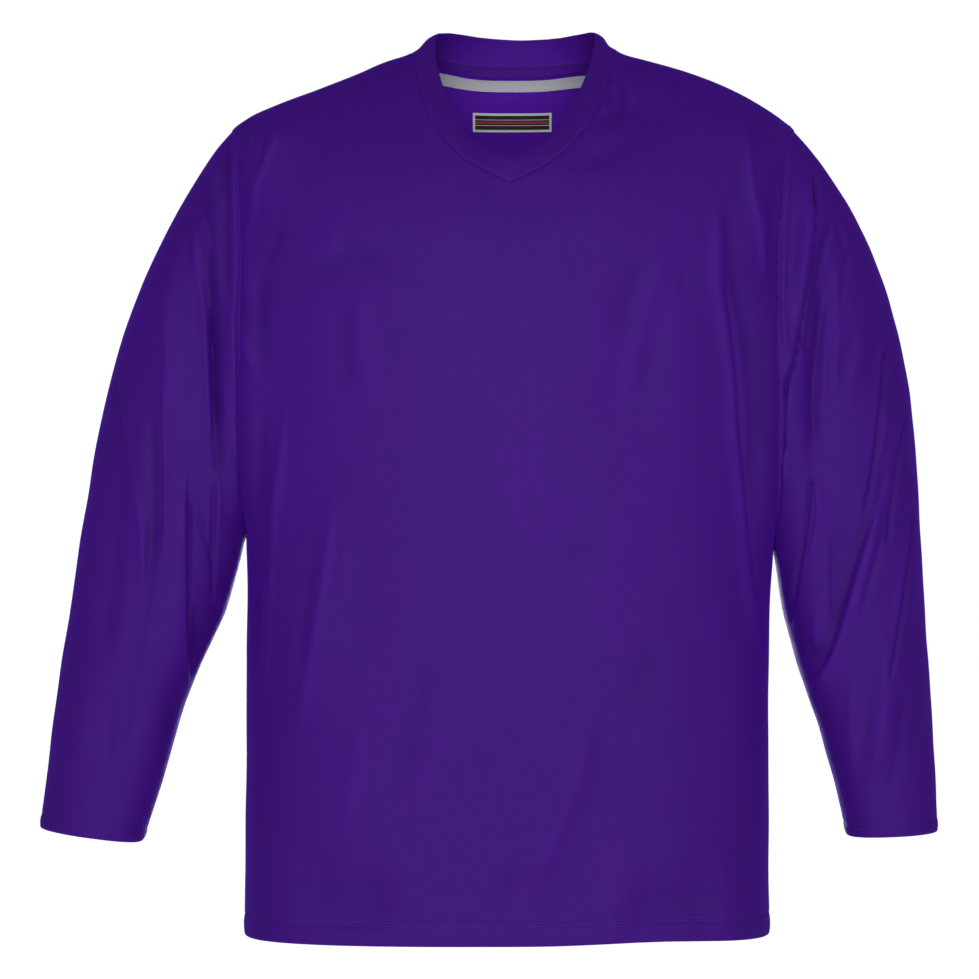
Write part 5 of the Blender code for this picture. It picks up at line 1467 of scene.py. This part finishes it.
def on_inside(points, below):
    """Points moved onto the back's inside, and a little further in."""
    gap = gap_to(points, panels[BACK][0][-1, ::2])
    large, fine, slow = body_height(points, "back", gap)
    normal = torso_normals(points.reshape(-1, 3)).reshape(points.shape)
    return points + normal * (large + fine + slow - CLOTH - below)[..., None], normal


def inside_piece(name, points, uv, gap, thick):
    near, normal = on_inside(points, gap)
    return shell(name, ride_up(near), ride_up(near - normal * thick), uv)


flat_back = panels[BACK][1]
corner = SHOULDER_STEPS * FINE_COLUMNS[BACK] + len(SEAM_PLACES)
columns = np.arange(corner + 6, flat_back.shape[1] - corner - 6)
depths = np.linspace(*TAPE_DEPTHS, 7)
tape_flat = np.zeros((len(depths), len(columns), 2))
for k, column in enumerate(columns):
    line = flat_back[::-1, column]
    run = lengths(line)
    for j in range(2):
        tape_flat[:, k, j] = np.interp(depths, run, line[:, j])
tape_uv = np.stack(np.broadcast_arrays(tape_flat[0, :, 0], depths[:, None]), axis=2)
neck_tape = inside_piece("twill_tape", flat_to_torso(tape_flat, BACK), tape_uv, 0.5 * MM, 0.6 * MM)

x, z = np.meshgrid(np.linspace(*LABEL_X, 38), np.linspace(*LABEL_Z, 11))
label_points = np.stack([x, torso_at_x(x.ravel(), z.ravel(), BACK).reshape(x.shape), z], axis=2)
label_uv = np.stack([x - LABEL_X[0], z - LABEL_Z[0]], axis=2)
neck_label = inside_piece("woven_label", label_points, label_uv, 0.5 * MM, 0.5 * MM)

# %% [markdown]
# ## Stitches
#
# One stitch is a short thread with rounded ends, modelled once. A row of stitches copies it along a
# line at even steps, each copy turned to the line and lying flat on the cloth.

# %% A stitch and a row of stitches
STITCH_LENGTH = 2.3 * MM
STITCH_STEP = 3.0 * MM
THREAD = 0.28 * MM         # half the thread's thickness


def one_stitch():
    bpy.ops.object.select_all(action="DESELECT")
    bpy.ops.mesh.primitive_cylinder_add(
        vertices=6, radius=THREAD, depth=STITCH_LENGTH, end_fill_type="NGON")
    made = bpy.context.object
    bpy.ops.object.mode_set(mode="EDIT")
    bpy.ops.mesh.select_all(action="DESELECT")
    bpy.ops.mesh.select_mode(type="FACE")
    work = bmesh.from_edit_mesh(made.data)
    for face in work.faces:
        face.select = abs(face.normal.z) > 0.9
    bmesh.update_edit_mesh(made.data)
    bpy.ops.mesh.inset(thickness=THREAD * 0.5, depth=THREAD * 0.6, use_individual=True)
    bpy.ops.object.mode_set(mode="OBJECT")
    return made


def stitch_line(points, normals, closed=False):
    """Even places along a line, each with its point, its direction and the way out."""
    if closed:
        points, normals = (np.concatenate([a, a[:1]]) for a in (points, normals))
    run = lengths(points)
    at = np.arange(STITCH_STEP / 2, run[-1] - STITCH_STEP / 2, STITCH_STEP)

    def read(values, s):
        return np.stack([np.interp(s, run, values[:, k]) for k in range(3)], axis=1)

    way = unit(read(points, at + MM) - read(points, at - MM))
    return read(points, at), way, unit(read(normals, at))


def stitches(name, lines):
    thread = one_stitch()
    count = len(thread.data.vertices)
    base = np.zeros(count * 3)
    thread.data.vertices.foreach_get("co", base)
    base = base.reshape(-1, 3)
    polygons = [np.array(p.vertices) for p in thread.data.polygons]
    points, faces = [], []
    for places_on, way, out in (stitch_line(*line) for line in lines):
        side = unit(np.cross(way, out))
        for p, w, o, s in zip(places_on, way, out, side):
            start = len(points) * count
            points.append(p + base[:, :1] * s + base[:, 1:2] * o + base[:, 2:] * w)
            faces += [(polygon + start).tolist() for polygon in polygons]
    mesh = bpy.data.meshes.new(name)
    mesh.from_pydata(np.concatenate(points).tolist(), [], faces)
    mesh.shade_smooth()
    bpy.data.objects.remove(thread, do_unlink=True)
    print(name, len(points), "stitches")
    return add_object(name, mesh)


print("stitches every", STITCH_STEP, "m")

# %% [markdown]
# ## Stitching the hems
#
# The hem is held by two rows of stitches and each cuff by one. A row runs level at one height above
# the edge, so we read that line from the finished skin, column by column, and the stitches lie in
# the groove that the hem's profile already has.

# %% Make the stitches
THREAD_RISE = 0.1 * MM
HEM_LINES = 60             # the grid's lowest lines, which hold the whole hem


def level_line(skin, heights, at):
    """The line on a skin at one height above its edge, column by column."""
    found = np.zeros((skin.shape[1], 3))
    for k in range(skin.shape[1]):
        order = np.argsort(heights[:, k])
        for j in range(3):
            found[k, j] = np.interp(at, heights[order, k], skin[order, k, j])
    return found


def seated(skin, normal, heights, at):
    """A stitching line just above the cloth, and the way out along it."""
    way_out = unit(level_line(normal, heights, at))
    return level_line(skin, heights, at) + way_out * THREAD_RISE, way_out


hem_lines = []
for skin in (front_skin, back_skin):
    low = skin[:HEM_LINES]
    normal = grid_normals(skin, BODY_MIDDLE)[:HEM_LINES]
    for at in BODY_STITCHES:
        line, way_out = seated(low, normal, low[..., 2] - low[0, :, 2], at)
        hem_lines.append((line[3:-3], way_out[3:-3], False))
hem_stitching = stitches("hem_stitching", hem_lines)

cuff_stitching_right, cuff_stitching_left = (
    stitches(name, [(*seated(*skin, CUFF_STITCHES[0]), True)])
    for name, skin in (("cuff_stitching_right", right_skin), ("cuff_stitching_left", left_skin)))

# %% [markdown]
# ## Small helpers for node trees
#
# A node tree reads better when a sum is one line of code. These helpers place a node on the sheet,
# set or link its sockets, and open a group with its inputs and outputs.

# %% Node helpers
def node(tree, kind, at, **settings):
    made = tree.nodes.new(kind)
    made.location = (at[0] * 180, -at[1] * 160)
    for name, value in settings.items():
        setattr(made, name, value)
    return made


def feed(tree, socket, value):
    """Links another node's output, or sets a plain value."""
    if isinstance(value, bpy.types.NodeSocket):
        tree.links.new(value, socket)
    else:
        socket.default_value = value


def math_node(tree, at, operation, *values):
    made = node(tree, "ShaderNodeMath", at, operation=operation)
    for socket, value in zip(made.inputs, values):
        feed(tree, socket, value)
    return made.outputs[0]


def group_tree(name, inputs, outputs):
    tree = bpy.data.node_groups.new(name, "ShaderNodeTree")
    for label, kind, default in inputs:
        socket = tree.interface.new_socket(name=label, in_out="INPUT", socket_type=kind)
        if default is not None:
            socket.default_value = default
    for label, kind in outputs:
        tree.interface.new_socket(name=label, in_out="OUTPUT", socket_type=kind)
    return tree, node(tree, "NodeGroupInput", (0, 0)), node(tree, "NodeGroupOutput", (12, 0))


print("node helpers are ready")

# %% [markdown]
# ## An air knit as a node group
#
# The cloth is a light polyester knit with rows of tiny eyelets, each row set half a step aside.
# The group reads the flat UV in metres, makes one eyelet per cell and puts out a mask and a
# height. Colour and gloss stay in each material, so panels, band and thread can differ.

# %% The air knit


def air_knit_group():
    tree, given, result = group_tree(
        "air_knit",
        [("Flat", "NodeSocketVector", None), ("Across", "NodeSocketFloat", 0.002),
         ("Down", "NodeSocketFloat", 0.00135), ("Size", "NodeSocketFloat", 0.3)],
        [("Eyelet", "NodeSocketFloat"), ("Height", "NodeSocketFloat")])
    parts = node(tree, "ShaderNodeSeparateXYZ", (1, 0))
    tree.links.new(given.outputs["Flat"], parts.inputs[0])
    u = math_node(tree, (2, 0), "DIVIDE", parts.outputs[0], given.outputs["Across"])
    v = math_node(tree, (2, 1), "DIVIDE", parts.outputs[1], given.outputs["Down"])
    row = math_node(tree, (3, 1), "FLOOR", v)
    odd = math_node(tree, (4, 1), "FLOORED_MODULO", row, 2.0)
    aside = math_node(tree, (5, 0), "MULTIPLY_ADD", odd, 0.5, u)
    in_u = math_node(tree, (7, 0), "SUBTRACT", math_node(tree, (6, 0), "FRACT", aside), 0.5)
    in_v = math_node(tree, (7, 1), "SUBTRACT", math_node(tree, (6, 1), "FRACT", v), 0.5)
    flat_v = math_node(tree, (8, 1), "MULTIPLY", in_v, 0.8)
    both = node(tree, "ShaderNodeCombineXYZ", (9, 0))
    tree.links.new(in_u, both.inputs[0])
    tree.links.new(flat_v, both.inputs[1])
    far = node(tree, "ShaderNodeVectorMath", (10, 0), operation="LENGTH")
    tree.links.new(both.outputs[0], far.inputs[0])
    edge = node(tree, "ShaderNodeMapRange", (11, 0), interpolation_type="SMOOTHSTEP")
    tree.links.new(far.outputs["Value"], edge.inputs["Value"])
    for row, (end, times) in enumerate((("From Min", 1.35), ("From Max", 0.65))):
        reach = math_node(tree, (10, row + 1), "MULTIPLY", given.outputs["Size"], times)
        tree.links.new(reach, edge.inputs[end])
    tree.links.new(edge.outputs[0], result.inputs["Eyelet"])
    tree.links.new(math_node(tree, (12, 2), "SUBTRACT", 1.0, edge.outputs[0]),
                   result.inputs["Height"])
    return tree


air_knit = air_knit_group()
print("node group:", air_knit.name)

# %% [markdown]
# ## An uneven dye
#
# No dyed cloth has one flat colour. Two noises, one nine times finer than the other, are added up
# and centred on one, so a material can simply multiply its colour by the result.

# %% The uneven dye


def uneven_group():
    """Two scales of noise as one multiplier near one."""
    tree, given, result = group_tree(
        "uneven_dye",
        [("Place", "NodeSocketVector", None), ("Scale", "NodeSocketFloat", 14.0),
         ("Amount", "NodeSocketFloat", 0.1)],
        [("Tone", "NodeSocketFloat")])
    total = None
    for k, times in enumerate((1.0, 9.0)):
        noise = node(tree, "ShaderNodeTexNoise", (2, k))
        noise.inputs["Detail"].default_value = 3.0
        tree.links.new(given.outputs["Place"], noise.inputs["Vector"])
        tree.links.new(math_node(tree, (1, k + 1), "MULTIPLY", given.outputs["Scale"], times),
                       noise.inputs["Scale"])
        centred = math_node(tree, (3, k), "SUBTRACT", noise.outputs[0], 0.5)
        total = centred if total is None else math_node(tree, (4, 0), "ADD", total, centred)
    strength = math_node(tree, (5, 0), "MULTIPLY", total, given.outputs["Amount"])
    tree.links.new(math_node(tree, (6, 0), "ADD", strength, 1.0), result.inputs["Tone"])
    return tree


uneven_dye = uneven_group()
print("node group:", uneven_dye.name)

# %% [markdown]
# ## Finishes
#
# Dyed polyester knit is matt with a faint soft gloss. Its eyelets are darker, because one looks
# into the cloth, and the dye varies a little. Each point's own number paints light and shade in:
# crests and seams paler, troughs darker, and the inside paler, a little for the knit's wrong side
# and the rest painted light. The band is the same yarn knitted closer.

# %% Materials
KNIT_LIGHT = (0.0462, 0.0026, 0.1960, 1)
KNIT_DARK = (0.0235, 0.0010, 0.1085, 1)
BAND_LIGHT = (0.0410, 0.0024, 0.1720, 1)
BAND_DARK = (0.0245, 0.0012, 0.1140, 1)
SHEEN_TINT = (0.2, 0.02, 1.0, 1)


def new_material(name, roughness, specular, sheen=0.0):
    made = bpy.data.materials.new(name)
    made.use_nodes = True
    shader = made.node_tree.nodes["Principled BSDF"]
    shader.location = (1800, 0)
    made.node_tree.nodes["Material Output"].location = (2100, 0)
    for name, value in (("Roughness", roughness), ("Specular IOR Level", specular),
                        ("Sheen Weight", sheen), ("Sheen Roughness", 0.5),
                        ("Sheen Tint", SHEEN_TINT)):
        shader.inputs[name].default_value = value
    return made, made.node_tree, shader


def place_group(tree, group, at, **values):
    made = node(tree, "ShaderNodeGroup", at, node_tree=group)
    for name, value in values.items():
        feed(tree, made.inputs[name], value)
    return made


def mixed(tree, at, factor, first, second):
    made = node(tree, "ShaderNodeMix", at, data_type="RGBA")
    for socket, value in (("Factor", factor), (6, first), (7, second)):
        feed(tree, made.inputs[socket], value)
    return made.outputs[2]


def toned(tree, at, colour, tone):
    made = node(tree, "ShaderNodeVectorMath", at, operation="SCALE")
    tree.links.new(colour, made.inputs[0])
    tree.links.new(tone, made.inputs["Scale"])
    return made.outputs[0]


def bump(tree, at, height, distance, shader, strength=0.6):
    made = node(tree, "ShaderNodeBump", at)
    made.inputs["Strength"].default_value = strength
    made.inputs["Distance"].default_value = distance
    tree.links.new(height, made.inputs["Height"])
    tree.links.new(made.outputs[0], shader.inputs["Normal"])


def knit_material(name, light, dark, across, down, size, rough):
    made, tree, shader = new_material(name, rough, 0.13, 0.32)
    flat = node(tree, "ShaderNodeUVMap", (0, 0), uv_map=UV_NAME)
    place = node(tree, "ShaderNodeTexCoord", (0, 2))
    knit = place_group(tree, air_knit, (1, 0), Flat=flat.outputs[0], Across=across, Down=down,
                       Size=size)
    drawn = node(tree, "ShaderNodeMapping", (0.5, 3))
    drawn.inputs["Scale"].default_value = (1.0, 1.0, 0.25)
    tree.links.new(place.outputs["Object"], drawn.inputs["Vector"])
    dye = place_group(tree, uneven_dye, (1, 2), Place=drawn.outputs[0], Scale=16.0, Amount=0.15)
    # the point attribute's painted light and shade, with the wrong side's own paleness
    painted_light_and_wrong_side = node(tree, "ShaderNodeAttribute", (1, 4), attribute_name=PAINTED_SHADING_NAME)
    tone = math_node(tree, (3, 3), "MULTIPLY", dye.outputs["Tone"], painted_light_and_wrong_side.outputs["Fac"])
    colour = mixed(tree, (4, 0), knit.outputs["Eyelet"], light, dark)
    tree.links.new(toned(tree, (6, 0), colour, tone), shader.inputs["Base Color"])
    bump(tree, (6, 2), knit.outputs["Height"], 0.12 * MM, shader)
    return made


knit = knit_material("violet_air_knit", KNIT_LIGHT, KNIT_DARK, 2.0 * MM, 1.35 * MM, 0.30, 0.66)
band_knit = knit_material(
    "violet_band_knit", BAND_LIGHT, BAND_DARK, 1.1 * MM, 0.9 * MM, 0.24, 0.7)
print("eyelets 2 mm apart in", knit.name, "and 1.1 mm apart in", band_knit.name)

# %% [markdown]
# ## Thread, twill and a woven label
#
# The thread is a touch paler than the cloth. The tape is a pale twill, so its ribs run diagonally.
# The label is a dark woven strip with a light border and three plain stripes. A stripe is where the
# height on the flat label lies between two sizes.

# %% Thread, tape and label
THREAD_DARK, THREAD_LIGHT = (0.028, 0.002, 0.13, 1), (0.055, 0.008, 0.22, 1)
TWILL_DARK, TWILL_LIGHT = (0.30, 0.29, 0.34, 1), (0.62, 0.61, 0.66, 1)
LABEL_BORDER, LABEL_FIELD = (0.62, 0.61, 0.62, 1), (0.012, 0.011, 0.014, 1)
LABEL_RED, LABEL_PALE = (0.32, 0.02, 0.03, 1), (0.55, 0.54, 0.56, 1)
thread, tree, shader = new_material("violet_thread", 0.55, 0.35)
place = node(tree, "ShaderNodeTexCoord", (0, 0))
dye = place_group(tree, uneven_dye, (1, 0), Place=place.outputs["Object"], Scale=160.0, Amount=0.5)
tone = mixed(tree, (3, 0), dye.outputs["Tone"], THREAD_DARK, THREAD_LIGHT)
tree.links.new(tone, shader.inputs["Base Color"])

twill, tree, shader = new_material("pale_twill", 0.8, 0.2)
flat = node(tree, "ShaderNodeUVMap", (0, 0), uv_map=UV_NAME)
ribs = node(tree, "ShaderNodeTexWave", (1, 0), bands_direction="DIAGONAL")
ribs.inputs["Scale"].default_value = 260.0
tree.links.new(flat.outputs[0], ribs.inputs["Vector"])
colour = mixed(tree, (3, 0), ribs.outputs["Fac"], TWILL_DARK, TWILL_LIGHT)
tree.links.new(colour, shader.inputs["Base Color"])
bump(tree, (4, 2), ribs.outputs["Fac"], 0.1 * MM, shader)

woven, tree, shader = new_material("woven_label", 0.6, 0.3)
flat = node(tree, "ShaderNodeUVMap", (0, 0), uv_map=UV_NAME)
parts = node(tree, "ShaderNodeSeparateXYZ", (1, 0))
tree.links.new(flat.outputs[0], parts.inputs[0])
label_size = (LABEL_X[1] - LABEL_X[0], LABEL_Z[1] - LABEL_Z[0])


def within(at, value, low, high):
    return math_node(tree, at, "COMPARE", value, (low + high) / 2, (high - low) / 2)


field = math_node(tree, (3, 0), "MULTIPLY",
                  within((2, 0), parts.outputs[0], 2 * MM, label_size[0] - 2 * MM),
                  within((2, 1), parts.outputs[1], 2 * MM, label_size[1] - 2 * MM))
stripe = within((2, 2), parts.outputs[1], 7.4 * MM, 9.3 * MM)
lines = math_node(tree, (3, 3), "ADD", within((2, 3), parts.outputs[1], 5.6 * MM, 6.1 * MM),
                  within((2, 4), parts.outputs[1], 10.6 * MM, 11.1 * MM))
ground = mixed(tree, (4, 0), field, LABEL_BORDER, LABEL_FIELD)
striped = mixed(tree, (5, 0), math_node(tree, (4, 2), "MULTIPLY", stripe, field), ground, LABEL_RED)
lined = mixed(tree, (6, 0), math_node(tree, (4, 3), "MULTIPLY", lines, field), striped, LABEL_PALE)
tree.links.new(lined, shader.inputs["Base Color"])
weft = node(tree, "ShaderNodeTexWave", (3, 5), bands_direction="Y")
weft.inputs["Scale"].default_value = 500.0
tree.links.new(flat.outputs[0], weft.inputs["Vector"])
bump(tree, (6, 3), weft.outputs["Fac"], 0.05 * MM, shader)
print("finishes:", thread.name, twill.name, woven.name)

# %% [markdown]
# ## Put the pieces on the frame
#
# Each piece takes the place of its solid and rides with the body. In the table, the two numbers are
# the cut's width and length in metres, measured flat. Panels and sleeves also give the cut's area,
# because they are no rectangles.

# %% Materials, slots and sheets
BODY = ("front_panel", "back_panel")
SLEEVE_CUT = (0.760, 0.640)
PIECES = (
    (front, "front", "jersey_knit", knit, (0.690, 0.800), 0.468, ("neck_band",)),
    (back, "back", "jersey_knit", knit, (0.690, 0.820), 0.500, ("neck_band",)),
    (sleeve_right, "sleeve_right", "jersey_knit", knit, SLEEVE_CUT, 0.230, BODY),
    (sleeve_left, "sleeve_left", "jersey_knit", knit, SLEEVE_CUT, 0.230, BODY),
    (collar, "collar", "band_knit", band_knit, (0.042, 0.530), None, BODY),
    (neck_tape, "neck_tape", "tape", twill, (0.010, 0.280), None, ("back_panel",)),
    (neck_label, "neck_label", "label", woven, (0.073, 0.017), None, ("back_panel",)),
)
for piece, solid, slot, finish, *_ in PIECES:
    piece.data.materials.append(finish)
    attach(piece, "root")
    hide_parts(solid)
for piece in (hem_stitching, cuff_stitching_right, cuff_stitching_left):
    piece.data.materials.append(thread)
    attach(piece, "root")
print(len(PIECES), "cloth pieces and three rows of stitches")

# %% [markdown]
# ## Camera and lamps
#
# The picture was taken level and from the front, from about three metres. Four broad lamps stand on
# the camera's side and one behind, so edges that turn away grow dark.

# %% Camera and lamps
CAMERA = (-0.01755, -3.2, -0.38655)
PIXEL = 0.0009             # metres per pixel of the photograph at the shoulder line
FRAME = 979                # pixels along a side of the picture
SENSOR = 36                # width of the camera's sensor in millimetres
AIM = (0, 0, -0.39)

lens = bpy.data.cameras.new("camera")
lens.lens = -CAMERA[1] * SENSOR / (PIXEL * FRAME)
camera = add_object("camera", lens)
camera.location = CAMERA
camera.rotation_euler = (math.radians(90), 0, 0)
bpy.context.scene.camera = camera

LIGHTS = (
    ("front", (0.0, -3.40, -0.70), (1.6, 1.2), 51),
    ("high", (0.0, -3.0, 1.1), (1.4, 0.8), 40),
    ("low_left", (2.2, -1.8, -2.0), (1.2, 0.8), 14),
    ("low_right", (-2.2, -1.8, -2.0), (1.2, 0.8), 12),
    ("behind", (0.0, 3.45, -0.30), (1.6, 1.2), 104),
)
for name, place, sides, power in LIGHTS:
    lamp = bpy.data.lights.new(name, "AREA")
    lamp.shape = "RECTANGLE"
    lamp.size, lamp.size_y = sides
    lamp.energy = power
    made = add_object(name, lamp)
    made.location = place
    way = mathutils.Vector(AIM) - made.location
    made.rotation_euler = way.to_track_quat("-Z", "Y").to_euler()
    print("lamp", name, power, "W")

# %% [markdown]
# ## Floor and world
#
# The floor is a pale sheet far below, as bright as the backdrop, and it throws no light on the
# cloth. The world fills the shade instead, more from below than from above, as a white floor does.

# %% Floor and world
FLOOR_HEIGHT = -1.45
FILL_BELOW, FILL_ABOVE = 0.72, 0.10      # a white floor throws back more than the ceiling
BACKDROP = 1.05

bpy.ops.object.select_all(action="DESELECT")
bpy.ops.mesh.primitive_grid_add(size=30, x_subdivisions=4, y_subdivisions=4,
                                location=(0, 0, FLOOR_HEIGHT))
floor = bpy.context.object
floor.name = "floor"
paper = bpy.data.materials.new("pale_paper")
paper.use_nodes = True
shader = paper.node_tree.nodes["Principled BSDF"]
for name, value in (("Base Color", (0.8, 0.8, 0.8, 1)), ("Emission Color", (1, 1, 1, 1)),
                    ("Emission Strength", 0.9)):
    shader.inputs[name].default_value = value
floor.data.materials.append(paper)
floor.visible_diffuse = False
floor.visible_glossy = False

world = bpy.data.worlds.new("studio")
bpy.context.scene.world = world
world.use_nodes = True
tree = world.node_tree
ground = tree.nodes["Background"]
ground.inputs["Color"].default_value = (0.95, 0.96, 1.0, 1)
ray = node(tree, "ShaderNodeLightPath", (-4, 0))
power = node(tree, "ShaderNodeMapRange", (-2, 0))
power.inputs["To Max"].default_value = BACKDROP
tree.links.new(ray.outputs["Is Camera Ray"], power.inputs["Value"])
way = node(tree, "ShaderNodeTexCoord", (-8, 0))
up = node(tree, "ShaderNodeSeparateXYZ", (-7, 0))
tree.links.new(way.outputs["Generated"], up.inputs[0])
fill = node(tree, "ShaderNodeMapRange", (-5, 0))
fill.inputs["From Min"].default_value = -1.0
fill.inputs["To Min"].default_value = FILL_BELOW
fill.inputs["To Max"].default_value = FILL_ABOVE
tree.links.new(up.outputs["Z"], fill.inputs["Value"])
tree.links.new(fill.outputs[0], power.inputs["To Min"])
tree.links.new(power.outputs[0], ground.inputs["Strength"])
world.cycles_visibility.glossy = False
bpy.context.scene.view_settings.view_transform = "Standard"
print("fill from below", FILL_BELOW, "and from above", FILL_ABOVE)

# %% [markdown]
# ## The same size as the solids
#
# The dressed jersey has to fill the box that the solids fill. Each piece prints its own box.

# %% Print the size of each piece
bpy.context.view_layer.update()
for piece, *_ in PIECES:
    corners = np.array([v.co[:] for v in piece.data.vertices])
    print(piece.name, "box", corners.min(axis=0).round(4), corners.max(axis=0).round(4))
